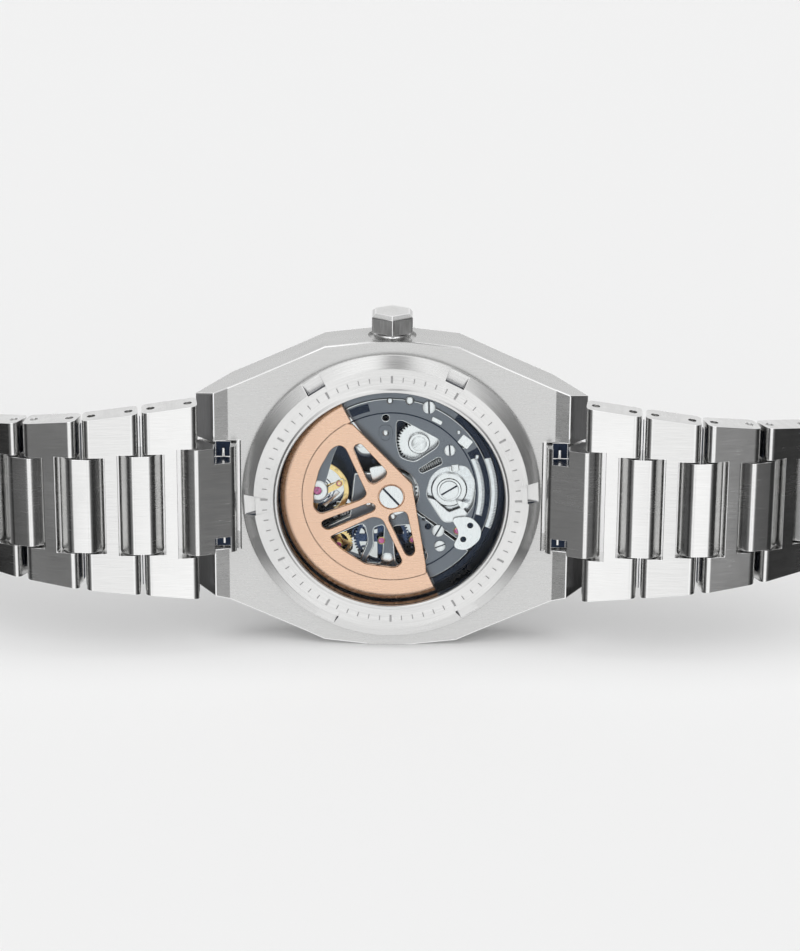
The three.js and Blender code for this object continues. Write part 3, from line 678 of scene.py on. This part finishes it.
piece("mid_case_shell", mid_case(), "case", "case", "edge", "lug", replaces=["mid_case"], sharp=11)
piece(
    "case_back_cover", soften(back_ring(), 0.05, 2, 40, 1), "case", "ring", "edge", "dark_plate_and_shade",
    replaces=["case_back_ring"],
)
marks = radial_bars(72, 15.45, 16.05, 0.06, -4.735, -4.6, lambda i: i % 6 == 0)
marks += radial_bars(12, 15.3, 16.2, 0.13, -4.738, -4.6)
piece("case_back_index", merge(*marks), "case", "mark")
piece("case_back_glass", turned([
    (0, -4.78), (13.55, -4.78), (13.8, -4.7), (13.93, -4.55), (13.93, -3.75), (0, -3.75),
], 160), "case", "glass", replaces=["case_back_crystal"])
piece("case_back_seal", turned([
    (14, -4.35), (14.15, -4.42), (14.3, -4.35), (14.3, -3.6), (14, -3.6),
], 120), "case", "rubber", replaces=["case_back_gasket"])
piece("bezel_ring", turned([
    (14.7, 3.05), (18.0, 3.05), (18.1, 3.15), (18.1, 3.62), (18.04, 3.74), (16.3, 4.84), (16.14, 4.9),
    (15.45, 4.9), (15.35, 4.8), (15.35, 3.5), (14.7, 3.5),
], 200), "case", "ring", replaces=["bezel"])
piece("dial_glass", turned([
    (0, 3.6), (15.2, 3.6), (15.25, 3.7), (15.25, 4.7), (15.1, 4.95), (14.6, 5.12), (11, 5.28), (8, 5.36),
    (4, 5.43), (0, 5.45),
], 160), "case", "glass", replaces=["front_crystal"])
chapter = turned([(12.3, 2.1), (14.45, 2.1), (14.45, 2.9), (12.3, 2.4)], 160)
piece("dial_chapter", chapter, "case", "dark_plate_and_shade", replaces=["chapter_ring"])
markers = radial_bars(12, 11.2, 13.6, 0.3, 2.15, 2.95, lambda i: i == 0)
markers += radial_bars(1, 11.2, 13.6, 0.6, 2.15, 2.95)
piece("dial_markers", soften(merge(*markers), 0.08, 2), "case", "polished")
ticks = radial_bars(60, 13.7, 14.3, 0.05, 2.72, 2.86, lambda i: i % 5 == 0)
piece("dial_minutes", merge(*ticks), "case", "white")

# ------------------------------------------------------------------ crown

CROWN_CORNER = 2.9


def crown():
    hexagon = [polar(CROWN_CORNER, 60 * i + 30) for i in range(6)]
    body = prism(hexagon, 20.65, 24)
    profile = [(0, 20), (3.1, 20), (3.1, 22.5), (2.4, 23.1), (0, 23.6)]
    envelope = bmesh.new()
    rings = []
    for radius, height in profile:
        if radius == 0:
            rings.append([envelope.verts.new((0, 0, height + HUB_HEIGHT))] * 6)
            continue
        rings.append([
            envelope.verts.new((*polar(radius, 60 * i + 30), height + HUB_HEIGHT)) for i in range(6)
        ])
    for first, second in zip(rings, rings[1:]):
        for i in range(6):
            j = (i + 1) % 6
            envelope.faces.new(list(dict.fromkeys([first[i], first[j], second[j], second[i]])))
    bmesh.ops.recalc_face_normals(envelope, faces=envelope.faces[:])
    shaped = carve(body, envelope, operation="INTERSECT")
    return carve(shaped, post(1.75, 20, 22.2, 0, 0, 40))


piece("crown_hexagon", soften(crown(), 0.1, 3, 14, 1), "crown", "crown", "edge", replaces=["crown"])
seal = carve(post(1.7, 21.3, 22, 0, 0, 40), post(0.6, 21, 22.1, 0, 0, 24))
piece("crown_washer", soften(seal, 0.08), "crown_seal", "rubber", replaces=["crown_seal"])
stem = post(0.5, 9.6, 22.15, 0, 0, 24)
piece("stem", soften(stem, 0.05), "crown", "polished", replaces=["winding_stem"])

# ------------------------------------------------------------------ movement

LEVELS = {
    "cock": (-2.35, -1.95), "bridge": (-2.1, -1.3), "balance": (-1.8, -1.4),
    "winding": (-1.2, -0.9), "train": (-1.2, -0.95), "escapement": (-0.7, -0.4),
    "barrel": (-0.8, 0.2), "plate": (0.3, 1.4),
}


def gear(at, radius, teeth, level, spokes=0, depth=0.3, hole=0.26, twist=0.0):
    outline = []
    for i in range(teeth):
        pitch = 360 / teeth
        for share, tip in ((0.0, 0), (0.12, 0), (0.34, 0.75), (0.42, 1), (0.58, 1), (0.66, 0.75), (0.88, 0)):
            outline.append(polar(radius - depth + depth * tip, pitch * (i + share) + twist, at))
    holes = [circle(hole, at, 20)]
    for i in range(spokes):
        start, end = 360 / spokes * i + 10, 360 / spokes * (i + 1) - 10
        outer = radius - depth - 0.35
        window = [*arc(outer, start, end, 14, at), polar(0.75, (start + end) / 2, at)]
        holes.append(rounded(window, 0.12, 2))
    return slab(outline, *LEVELS[level], holes)


def screw(name, at, radius, y, slot_angle, body="case", look="white", depth=0.22):
    """A slotted screw head: two half discs standing on a dark disc, painted shade in the slot."""
    half_slot = radius * 0.07
    cut_angle = math.degrees(math.asin(half_slot / radius))
    halves = []
    for side in (0, 180):
        rim = arc(radius, slot_angle + side + cut_angle, slot_angle + side + 180 - cut_angle, 20, at)
        halves.append(soften(slab(rim, y, y + depth), min(0.07, radius * 0.12), 2))
    # The dark disc behind the halves shows through the slot: painted shade.
    slot_shade_disc = slab(circle(radius * 0.97, at, 32), y + depth * 0.6, y + depth * 1.3)
    return piece(name, merge(*halves, paint(slot_shade_disc, EDGE)), body, look, "dark_plate_and_shade")


def jewel(name, at, radius, y, body="case", setting="gilt"):
    stone = turned([
        (0, y + 0.12), (radius * 0.18, y + 0.12), (radius * 0.22, y + 0.04), (radius * 0.6, y + 0.03),
        (radius * 0.92, y - 0.01), (radius, y + 0.04), (radius, y + 0.3), (0, y + 0.3),
    ], 32, at)
    piece(name, stone, body, "ruby")
    ring = turned([
        (radius * 1.02, y), (radius * 1.12, y - 0.04), (radius * 1.32, y - 0.02), (radius * 1.38, y + 0.05),
        (radius * 1.38, y + 0.3), (radius * 1.02, y + 0.3),
    ], 32, at)
    piece(name + "_setting", ring, body, setting)


def dot(name, at, radius, y, look="white", body="case", height=0.3):
    """A pin head with a domed, chamfered face."""
    head = turned([
        (0, y - 0.03), (radius * 0.5, y - 0.02), (radius * 0.85, y + 0.02), (radius, y + 0.08),
        (radius, y + height), (0, y + height),
    ], 32, at)
    return piece(name, head, body, look)


# outer ring of the movement, with its screws
BRIDGE_Y = LEVELS["bridge"][0]
piece("movement_holder", turned([
    (13.35, -1.95), (14.85, -1.95), (14.9, -1.9), (14.9, -1.5), (15.9, -1.5), (15.9, 1.6), (13.35, 1.6),
], 160), "case", "dark_plate_and_shade", replaces=["movement_ring"])

windows_barrel = [
    rounded([(0.6, 9.5), (1.25, 9.6), (5.95, 7.05), (5.6, 6.1), (2.86, 4.15), (1.1, 4.7), (0.6, 6.6)], 0.6),
    rounded([(9.3, 3.7), (6.2, 3.4), (4.9, 2.2), (4.3, -0.2), (6.6, -3.9), (8.9, -3.4), (10.2, -1.6),
             (10.5, 1.4)], 0.8),
    rounded([(3.35, 3.15), (3.75, 2.65), (6.3, 3.95), (6.05, 4.75), (5.7, 4.75)], 0.3),
]
BRIDGE_OUTER = 12.4


def barrel_bridge():
    outline = [
        *arc(BRIDGE_OUTER, 118, -36, 60), *arc(3.4, -36, 100, 26),
    ]
    small = [circle(0.42, (-0.75, 9.9), 24), circle(0.3, (4.06, -3.4), 20), circle(0.25, (8.9, 6.3), 20)]
    return slab(outline, *LEVELS["bridge"], [*windows_barrel, *small])


def train_bridge():
    outline = [
        *arc(BRIDGE_OUTER, -38, -152, 44), (-5.2, -3.1), (-4.6, 2.6), *arc(2.75, 103, -38, 28),
    ]
    holes = [
        rounded([(-8, -6.2), (-3.4, -4), (-2.9, -6.4), (-4.2, -9.6), (-5.4, -10.2)], 0.7),
        rounded([(-2.2, -4.6), (-0.9, -4.2), (-1.2, -9.4), (-3.2, -9.2), (-2.1, -7)], 0.5),
        rounded([(0.2, -4.4), (2.6, -4.2), (4.6, -8.4), (3.4, -9.9), (0.6, -9.6)], 0.6),
    ]
    return slab(outline, *LEVELS["bridge"], holes)


for name, shape, node in (
    ("bridge_upper", barrel_bridge, "barrel_bridge"), ("bridge_lower", train_bridge, "train_bridge"),
):
    piece(name, soften(shape(), 0.13, 2, 35, 1), "case", "bridge", "edge", replaces=[node])
piece("bridge_hub", turned([
    (0.7, -2.12), (2.9, -2.12), (3.0, -2.05), (3.0, -1.3), (0.7, -1.3),
], 80), "case", "white")
# A dark ring flush with the bridge face, standing for a narrow gap: painted shade.
piece("bridge_groove_shade", turned([
    (10.5, -2.13), (10.66, -2.13), (10.66, -2.05), (10.5, -2.05),
], 140), "case", "dark_plate_and_shade")
rim = turned([
    (12.45, -2.02), (12.55, -2.1), (13.25, -2.1), (13.3, -2.0), (13.3, -1.4), (12.45, -1.4),
], 160)
paint(rim, EDGE, lambda face, middle: (
    -66 < math.degrees(math.atan2(middle.z - HUB_HEIGHT, middle.x)) < 52
))
piece("bridge_rim", rim, "case", "bridge", "dark_plate_and_shade")
# bridge_well_shade is a dark band laid on the bridge for a recess: painted shade.
for name, outer, inner, start, end, steps in (
    ("bridge_crescent", 12.3, 10.85, -37, 30, 40), ("bridge_well_shade", 12.1, 11.1, 104, 116, 10),
):
    band = [*arc(outer, start, end, steps), *arc(inner, end, start, steps)]
    piece(name, slab(band, -2.16, -2.05), "case", "dark_plate_and_shade")

for name, (at, radius, teeth, level, spokes, look) in {
    "mainspring_barrel": ((7.2, 0.3), 5.5, 72, "barrel", 0, "gear"),
    "ratchet_wheel": ((7.2, 0.3), 4.3, 48, "winding", 0, "gear"),
    "crown_wheel": ((3.4, 6.4), 2.75, 40, "winding", 0, "white"),
    "centre_wheel": ((0, 0), 2.75, 40, "train", 4, "gilt"),
    "third_wheel": ((-1.2, -6.3), 3.5, 54, "train", 4, "blued"),
    "fourth_wheel": ((-6.6, -6.9), 1.8, 30, "train", 4, "gilt"),
    "escape_wheel": ((-5.6, -3.1), 1.8, 15, "escapement", 3, "gear"),
    "reversing_wheel": ((2.6, -7.6), 2.0, 30, "escapement", 0, "blued"),
}.items():
    wheel = soften(gear(at, radius, teeth, level, spokes, 0.3 if radius > 2 else 0.22), 0.03, 1, 50)
    near = LEVELS[level][0]
    hub = turned([
        (0.1, near - 0.22), (0.34, near - 0.22), (0.4, near - 0.16), (0.4, near), (0.62, near - 0.03),
        (0.62, LEVELS[level][1]), (0.1, LEVELS[level][1]),
    ], 24, at)
    piece(name + "_cut", merge(wheel, hub), name, look, replaces=[name])

# winding work seen through the upper bridge
piece("crown_wheel_cap", turned([
    (0, -1.62), (1.25, -1.62), (1.36, -1.54), (1.36, -1.25), (0, -1.25),
], 48, (3.4, 6.4)), "crown_wheel", "white")
screw("crown_wheel_screw", (3.4, 6.4), 0.95, -1.72, 35, "crown_wheel")
piece("ratchet_cap", turned([
    (0, -1.5), (2.1, -1.5), (2.26, -1.4), (2.26, -1.22), (0, -1.22),
], 64, (7.2, 0.3)), "ratchet_wheel", "white")
screw("ratchet_screw", (7.2, 0.3), 1.2, -1.78, 32, "ratchet_wheel")
piece("ratchet_washer", turned([
    (1.25, -1.62), (1.45, -1.6), (1.55, -1.5), (1.25, -1.5),
], 48, (7.2, 0.3)), "ratchet_wheel", "polished")

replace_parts(piece("click_arm", soften(from_node("click"), 0.06), "click", "white"), "click")
screw("click_screw", (7.2, 5.75), 0.72, BRIDGE_Y - 0.2, 95)


def lever(name, points, y0, y1, look="white", radius=0.3, body="case"):
    shape = slab(rounded(points, radius, 6), y0, y1)
    return piece(name, soften(shape, 0.06, 2, 35, 1), body, look, "edge")


lever("click_spring", [(7.0, 4.4), (8.2, 4.2), (8.3, 2.9), (7.3, 2.7)], -2.0, -1.65)
lever("barrel_guard", [(4.1, -0.5), (5.4, -0.9), (7.2, -2.6), (8.9, -1.9), (9.8, -3.0), (8.6, -4.2),
                       (6.6, -4.3), (4.7, -2.3)], -2.0, -1.7)
lever("barrel_guard_tip", [(8.0, -0.9), (9.9, -1.4), (8.8, -2.2)], -2.02, -1.72, "polished", 0.15)
lever("lower_jaw", [(7.4, -3.2), (9.9, -2.9), (11.3, -4.4), (11.2, -6.1), (9.4, -7.6), (7.6, -7.1),
                    (8.6, -5.2)], -2.32, -2.12, "white", 0.9)
# Dark pin heads in the lower jaw's holes: painted shade.
dot("jaw_hole_shade_a", (9.87, -4.14), 0.42, -2.37, "dark_plate_and_shade")
dot("jaw_hole_shade_b", (9.03, -6.0), 0.42, -2.37, "dark_plate_and_shade")


def coil_spring(name, start, end, y, radius=0.34, wire=0.085, turns=9):
    """A helical spring between two points, as one tube."""
    a, b = Vector((start[0], y, start[1] + HUB_HEIGHT)), Vector((end[0], y, end[1] + HUB_HEIGHT))
    along = (b - a).normalized()
    side = along.cross(Vector((0, 1, 0))).normalized()
    other = Vector((0, 1, 0))
    steps, sides = turns * 14, 8
    bm = bmesh.new()
    rings = []
    for i in range(steps + 1):
        t = i / steps
        angle = 2 * math.pi * turns * t
        out = side * math.cos(angle) + other * math.sin(angle)
        centre = a.lerp(b, t) + out * radius
        rings.append([
            bm.verts.new(centre + (out * math.cos(q) + along * math.sin(q)) * wire)
            for q in (2 * math.pi * k / sides for k in range(sides))
        ])
    for first, second in zip(rings, rings[1:]):
        for k in range(sides):
            bm.faces.new([first[k], first[(k + 1) % sides], second[(k + 1) % sides], second[k]])
    bm.faces.new(rings[0])
    bm.faces.new(rings[-1])
    piece(name, bm, "case", "white", sharp=60)


coil_spring("click_coil", (3.75, 3.1), (5.95, 4.3), -1.75)

# screws and pins on the bridges and on the outer ring
for i, (at, radius, y, angle) in enumerate([
    ((4.58, 11.35), 0.82, -2.3, 92), ((5.87, -4.9), 0.8, -2.3, 60), ((6.11, -6.95), 0.72, -2.3, 20),
    ((-3.91, 6.66), 0.6, -2.3, 30), ((1.9, -9.6), 0.6, -2.3, 70),
]):
    screw(f"bridge_screw_{i + 1}", at, radius, y, angle)
for i, (at, radius, look) in enumerate([
    ((-0.24, 12.15), 0.42, "gear"), ((2.2, 12.2), 0.55, "white"), ((-0.75, 7.94), 0.4, "white"),
    ((4.6, -4.4), 0.4, "dark_plate_and_shade"), ((-0.45, -8.75), 0.8, "white"), ((0.15, -3.1), 0.45, "white"),
    ((-2.86, -1.3), 0.5, "white"), ((8.3, 8.1), 0.3, "gear"), ((10.6, 4.9), 0.3, "gear"),
    ((-2.4, 5.3), 0.3, "dark_plate_and_shade"), ((-2.2, 4.2), 0.3, "dark_plate_and_shade"),
]):
    dot(f"bridge_pin_{i + 1}", at, radius, -2.22, look)
for i, at in enumerate([(8.28, -4.95), (2.71, -6.16), (-1.2, -6.3), (-6.6, -6.9)]):
    jewel(f"train_jewel_{i + 1}", at, 0.36, -2.16)

# keyhole frame round a pin, and the blocks of the keyless work
piece("keyhole_frame", soften(slab(
    rounded([(-1.6, 9.0), (0.1, 9.0), (0.1, 6.7), (-1.6, 6.7)], 0.8, 8), -2.2, -2.0,
    [rounded([(-1.3, 8.7), (-0.2, 8.7), (-0.2, 7.0), (-1.3, 7.0)], 0.55, 8)],
), 0.04), "case", "bridge")
for i, (x, h, w, d, turn) in enumerate([
    (5.57, 9.6, 1.5, 0.55, -28), (9.1, 6.9, 1.6, 1.3, -38), (-1.5, 2.75, 2.2, 1.7, 14),
    (7.9, 3.45, 1.0, 0.9, 8),
]):
    corners = [(-w / 2, -d / 2), (w / 2, -d / 2), (w / 2, d / 2), (-w / 2, d / 2)]
    block = slab(rounded(corners, 0.2), -2.28, -1.9)
    bmesh.ops.translate(block, vec=(0, 0, -HUB_HEIGHT), verts=block.verts[:])
    spin = Matrix.Rotation(-math.radians(turn), 3, "Y")
    bmesh.ops.rotate(block, cent=(0, 0, 0), matrix=spin, verts=block.verts[:])
    bmesh.ops.translate(block, vec=(x, 0, h + HUB_HEIGHT), verts=block.verts[:])
    piece(f"keyless_block_{i + 1}", soften(block, 0.08, 2, 35, 1), "case", "white", "edge")

# toothed arcs at the right edge of the movement; they are fixed
for name, radius, start, end, level, look in (
    ("setting_arc", 11.6, -14, 25, (-2.3, -2.12), "gear"),
    ("outer_arc", 13.2, -20, 22, (-2.3, -2.12), "gear"),
):
    count = int((end - start) * 1.1)
    outer = []
    for i in range(count):
        a = start + (end - start) * i / count
        step = (end - start) / count
        outer += [polar(radius, a), polar(radius, a + step * 0.45), polar(radius - 0.34, a + step * 0.55),
                  polar(radius - 0.34, a + step * 0.95)]
    inner = arc(radius - 0.75, end, start, 30)
    piece(name, slab([*outer, *inner], *level), "case", look)

# balance, hairspring, escapement
BALANCE_AT = (-9.1, 0.2)
rim_profile = [(3.2, -1.78), (3.3, -1.8), (3.78, -1.8), (3.85, -1.74), (3.85, -1.42), (3.2, -1.42)]
rim = turned(rim_profile, 96, BALANCE_AT)
arms = [
    slab([polar(r, a + s, BALANCE_AT) for r, s in ((0.4, -40), (3.3, -5), (3.3, 5), (0.4, 40))], -1.72, -1.5)
    for a in (20, 140, 260)
]
weight_profile = [(0, -1.86), (0.16, -1.86), (0.2, -1.8), (0.2, -1.4), (0, -1.4)]
weights = [
    turned(weight_profile, 16, polar(3.5, 20 + 30 * i, BALANCE_AT))
    for i in range(12)
]
staff = turned([(0, -1.86), (0.16, -1.86), (0.24, -1.7), (0.24, 0.2), (0, 0.2)], 24, BALANCE_AT)
piece("balance_rim", merge(rim, *arms, *weights, staff), "balance", "gilt", replaces=["balance_wheel"])
piece("hairspring_coil", from_node("hairspring"), "balance", "blued", replaces=["hairspring"])
piece("fork", soften(from_node("pallet_fork"), 0.04), "pallet_fork", "gear", replaces=["pallet_fork"])

cock = slab(rounded([
    (-10.0, -1.3), (-8.5, -1.3), (-8.3, 1), (-7.2, 5), (-6.2, 7.4), (-6.8, 9.8), (-8.8, 8.8), (-9.2, 5),
    (-10.3, 1.2),
], 0.7, 8), *LEVELS["cock"])
cock_foot = turned([(0, -2.35), (1.05, -2.35), (1.1, -2.3), (1.1, 0.25), (0, 0.25)], 32, (-7.3, 8.1))
piece(
    "cock", soften(merge(cock, cock_foot), 0.08, 2, 35, 1), "case", "bridge", "edge",
    replaces=["balance_cock"],
)
piece("regulator_disc", turned([
    (0.55, -2.42), (1.15, -2.44), (1.3, -2.4), (1.35, -2.36), (1.35, -2.3), (0.55, -2.3),
], 48, (-9.2, 0.4)), "case", "white")
jewel("balance_jewel", (-9.2, 0.4), 0.5, -2.44, "case", "polished")
jewel("regulator_jewel", (-6.5, 1.2), 0.3, -2.0)
lever("regulator_arm", [
    (-8.3, 0.5), (-7.2, 1.2), (-6.0, 1.9), (-5.8, 1.1), (-6.6, 0.5), (-7.9, -0.2),
], -1.98, -1.84, "gilt", 0.25)
screw("cock_screw", (-7.3, 8.1), 0.75, -2.5, 40)

# base plate with its openings, drawn over the CAD plate's outline
plate_holes = [
    circle(0.9), circle(2.6, (-8.3, 0.2)), circle(2.2, (7.2, 0.3)),
    rounded([(-6, -8.8), (-1.5, -10.5), (-1.5, -4), (-3.2, -4)], 0.8),
    rounded([(1.5, -10.8), (6, -8.5), (4.5, -5), (1.5, -4)], 0.8),
    rounded([(-6, 8.8), (-3, 10), (-2.2, 4), (-4, 4)], 0.8),
]
base = slab(circle(13, steps=140), *LEVELS["plate"], plate_holes)
base = carve(base, post(0.7, 9, 14, 0, 0, 24))
piece("base_plate", soften(base, 0.08, 2, 35, 1), "case", "dark_plate_and_shade", "blued", replaces=["main_plate"])
for i, (at, radius) in enumerate([
    ((-4.0, -6.1), 0.95), ((-5.6, -7.9), 0.8), ((-3.4, -8.6), 0.75), ((-2.1, -5.0), 0.6), ((5.2, -9.1), 0.9),
    ((9.5, -7.6), 0.8), ((7.8, -9.6), 0.6), ((-3.2, 7.6), 0.6), ((-4.4, 6.0), 0.5),
]):
    piece(f"base_well_{i + 1}", turned([
        (radius * 0.72, -0.05), (radius * 0.8, -0.12), (radius, -0.12), (radius, 0.28), (radius * 0.72, 0.28),
    ], 32, at), "case", "blued")

# ------------------------------------------------------------------ rotor

ROTOR_SPAN = (117.4, 294.0)
ROTOR_WINDOWS = [
    [(-6.5, 6.8), (-5.7, 6.4), (-3, 0.3), (-3.7, -0.4), (-8.8, -2.4), (-9.65, -1.6), (-9.65, 0.6),
     (-8.9, 3.6), (-7.5, 6.2)],
    [(-4.8, 6.5), (-3.9, 7.1), (-0.5, 3.3), (-0.8, 2.5), (-2.2, 1.55), (-2.9, 2)],
    [(-8.7, -3.3), (-8.6, -4.1), (-7.9, -4.5), (-2.1, -1.9), (-1.9, -1.2), (-2.6, -0.75)],
    [(-7.7, -5.4), (-2.3, -2.65), (-1.1, -2.95), (1.5, -8.7), (0.6, -9.5), (-3.2, -9), (-6.2, -7)],
    [(-0.4, -2.9), (-0.1, -2.2), (1.5, -1.9), (2, -2.2), (3.05, -7.2), (2.6, -7.9), (1.9, -7.8)],
]


def rotor():
    web = [
        *arc(11.2, ROTOR_SPAN[0] + 3.5, ROTOR_SPAN[1] - 0.7, 90), (4.37, -9.05), (2.57, 1.69), (-4.83, 9.48),
    ]
    holes = [rounded(window, 0.55, 8) for window in ROTOR_WINDOWS] + [circle(1.62, steps=48)]
    plate = soften(slab(web, -3.4, -2.95, holes), 0.1, 3, 35, 1)
    recess = turned([(0.65, -3.15), (1.7, -3.15), (1.7, -2.95), (0.65, -2.95)], 48)
    start, end = ROTOR_SPAN
    steps = 120
    profile = [
        (10.98, -3.34), (11.04, -3.4), (12.85, -3.4), (13.25, -3.35), (13.58, -3.2), (13.8, -2.95),
        (13.86, -2.6), (13.8, -2.45), (11, -2.45),
    ]
    bm = bmesh.new()
    rings = []
    for i in range(steps + 1):
        a = start + (end - start) * i / steps
        rings.append([
            bm.verts.new((polar(r, a)[0], y, polar(r, a)[1] + HUB_HEIGHT)) for r, y in profile
        ])
    for first, second in zip(rings, rings[1:]):
        for k in range(len(profile)):
            n = (k + 1) % len(profile)
            face = bm.faces.new([first[k], first[n], second[n], second[k]])
            face.material_index = 1 if k in (3, 4, 5, 6) or k == 0 else 0
    bm.faces.new(rings[0])
    bm.faces.new(rings[-1])
    return merge(plate, recess, bm)


piece("rotor", rotor(), "rotor", "rose", "rose_edge", replaces=["rotor_weight"])
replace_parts(screw("rotor_bolt", (0, 0), 1.5, -3.5, -47, depth=0.3), "rotor_screw")
piece("rotor_bearing", turned([
    (0.6, -3.1), (1.55, -3.1), (1.6, -3.05), (1.6, -2.2), (0.6, -2.2),
], 48), "case", "polished")

# ------------------------------------------------------------------ hands


def hand(length, width, hub, y0, y1, turn):
    shoulder = length * 0.7
    tail = -hub * 1.8
    blade = slab([
        (tail, -width * 0.4), (shoulder, -width / 2), (length, 0), (shoulder, width / 2), (tail, width * 0.4),
    ], y0, y1)
    disc = slab(circle(hub, steps=32), y0 - 0.01, y1 + 0.01)
    whole = merge(soften(blade, 0.04, 2), soften(disc, 0.04, 2))
    spin = Matrix.Rotation(math.radians(turn), 3, "Y")
    bmesh.ops.rotate(whole, cent=(0, 0, HUB_HEIGHT), matrix=spin, verts=whole.verts[:])
    return whole


for name, node, look, *sizes in (
    ("hour_pointer", "hour_hand", "polished", 7.2, 1.1, 0.9, 2.0, 2.2, -62),
    ("minute_pointer", "minute_hand", "polished", 10.6, 0.9, 0.8, 2.45, 2.65, 52),
    ("seconds_pointer", "seconds_hand", "gilt", 11, 0.3, 0.5, 2.95, 3.1, -165),
):
    piece(name, hand(*sizes), node, look, replaces=[node])

# ------------------------------------------------------------------ bracelet

TILTS = {
    "six": [6.5, 5.5, 4, -4, -12, -18, -25, -28.5, -32, -35, -38, -44],
    "twelve": [6.5, 5.5, 4, -4, -12, -18, -25, -28.5, -32],
}
FIRST_PIN = (25, -4.75)
IN_LINK = 4.55
IN_CENTRE = 2.7
OVERHANG = 1.12
RECESS = 1.5
SHADE_FIN_HALF = 0.05
LEVER_FLOOR = -2.6


def centre_half(distance):
    return 6.7 - 0.045 * distance


def link_width(distance):
    return 25.45 - 0.235 * distance


def main_link(inner_width, outer_width, halves):
    start, end, t = -OVERHANG, IN_LINK + OVERHANG, 1.8
    profile = rounded([(start, -t), (end, -t), (end, t), (start, t)], 0.95, 7)
    bm = prism(profile, -1, 1)
    for v in bm.verts:
        share = (v.co.x - start) / (end - start)
        half = (inner_width + (outer_width - inner_width) * share) / 2
        v.co.z = HUB_HEIGHT + (half if v.co.z > HUB_HEIGHT else -half)
    cut = carve(
        bm,
        box((start - 1, RECESS), (-3, 3), (-halves[0] - 0.2, halves[0] + 0.2)),
        box((IN_LINK - RECESS, end + 1), (-3, 3), (-halves[1] - 0.2, halves[1] + 0.2)),
        post(0.5, -14, 14, 0, 0, 28),
        post(0.5, -14, 14, IN_LINK, 0, 28),
    )
    return soften(cut, 0.09, 2, 40, 1)


def centre_link(half, pin_half):
    x0, x1, t, b = -1.36, IN_CENTRE + 1.36, 1.95, 1.35
    profile = rounded([
        (x0, -0.6), (x0 + b, -t), (x1 - b, -t), (x1, -0.6), (x1, 0.6), (x1 - b, t), (x0 + b, t), (x0, 0.6),
    ], 0.55, 5)
    block = soften(prism(profile, -half, half), 0.09, 2, 40, 1)
    pins = [
        soften(post(0.42, -pin_half, pin_half, x, 0, 24), 0.1, 2) for x in (0, IN_CENTRE)
    ]
    # A thin dark fin paints the shade in the slit and keeps the floor from showing through it; the real
    # bracelet has none.
    middle = IN_CENTRE / 2
    fin = box((middle - SHADE_FIN_HALF, middle + SHADE_FIN_HALF), (-0.35, 0.35), (-pin_half, pin_half))
    return merge(block, *pins, paint(fin, OTHER))


def laid(bm, at, heading):
    """Moves a mesh drawn about its own pin to its place along the bracelet."""
    turn = Matrix.Rotation(heading, 4, "Z")
    bm.transform(Matrix.Translation((at[0], at[1], 0)) @ turn)
    return bm


def end_piece(side):
    profile = [
        (19.45, -4.75), (24, -6.35), (25.2, -5.95), (25.85, -5.45), (26, -5), (26, -4.3), (25.2, -3.2),
        (22.6, -1), (21.6, 0), (19.6, 0), (19.15, -0.6), (19.15, -4.3),
    ]
    outline = rounded([(x * side, y) for x, y in profile], 0.4, 4)
    block = prism(outline, -6.95, 6.95)
    levers = [
        box(sorted((19.9 * side, 21.8 * side)), (-8, LEVER_FLOOR), sorted((4.9 * e, 7.5 * e)))
        for e in (1, -1)
    ]
    cut = carve(block, *levers)
    # The floors of the lever recesses get the dark material: painted shade.
    paint(cut, OTHER, lambda face, middle: abs(middle.y - LEVER_FLOOR) < 0.05)
    soften(cut, 0.1, 2, 36, EDGE)
    bar = soften(post(0.45, -8.7, 8.7, SPRING_BAR[0] * side, SPRING_BAR[1]), 0.08)
    pin = soften(post(0.42, -12, 12, FIRST_PIN[0] * side, FIRST_PIN[1]), 0.08)
    pushers = []
    for e in (1, -1):
        pusher = box(sorted((20.6 * side, 20.95 * side)), (-3.4, -2.5), sorted((5.2 * e, 6.3 * e)))
        pushers.append(soften(pusher, 0.08))
    return merge(cut, bar, pin, *pushers)


for label, side in (("twelve", 1), ("six", -1)):
    node = f"end_piece_{label}"
    piece(f"lug_end_{label}", end_piece(side), node, "link", "edge", "dark_plate_and_shade", replaces=[node])
    pin = [FIRST_PIN[0] * side, FIRST_PIN[1]]
    distance = 0.0
    tilts = TILTS[label]
    for i in range(len(tilts) - 1 if label == "six" else len(tilts)):
        heading = math.pi + math.radians(tilts[i]) if side < 0 else -math.radians(tilts[i])
        number = i // 2 + 1
        if i % 2 == 0:
            length = IN_LINK + 2 * OVERHANG
            halves = (6.95 if i == 0 else centre_half(distance), centre_half(distance + length))
            shape = main_link(link_width(distance), link_width(distance + length), halves)
            node, name, step = f"link_{label}_{number}", f"plate_{label}_{number}", IN_LINK
        else:
            pin_half = link_width(distance + IN_CENTRE) / 2 - 0.9
            shape = centre_link(centre_half(distance + OVERHANG), pin_half)
            node, name, step = f"centre_link_{label}_{number}", f"bar_{label}_{number}", IN_CENTRE
        piece(name, laid(shape, pin, heading), node, "link", "edge", "dark_plate_and_shade", replaces=[node])
        pin[0] += step * math.cos(heading)
        pin[1] += step * math.sin(heading)
        distance += step

for node, look in (
    ("clasp_cover", "link"), ("clasp_long_blade", "polished"), ("clasp_short_blade", "polished"),
    ("clasp_button_upper", "link"), ("clasp_button_lower", "link"),
):
    piece(node + "_part", soften(from_node(node), 0.12, 2, 35, 1), node, look, "edge", replaces=[node])
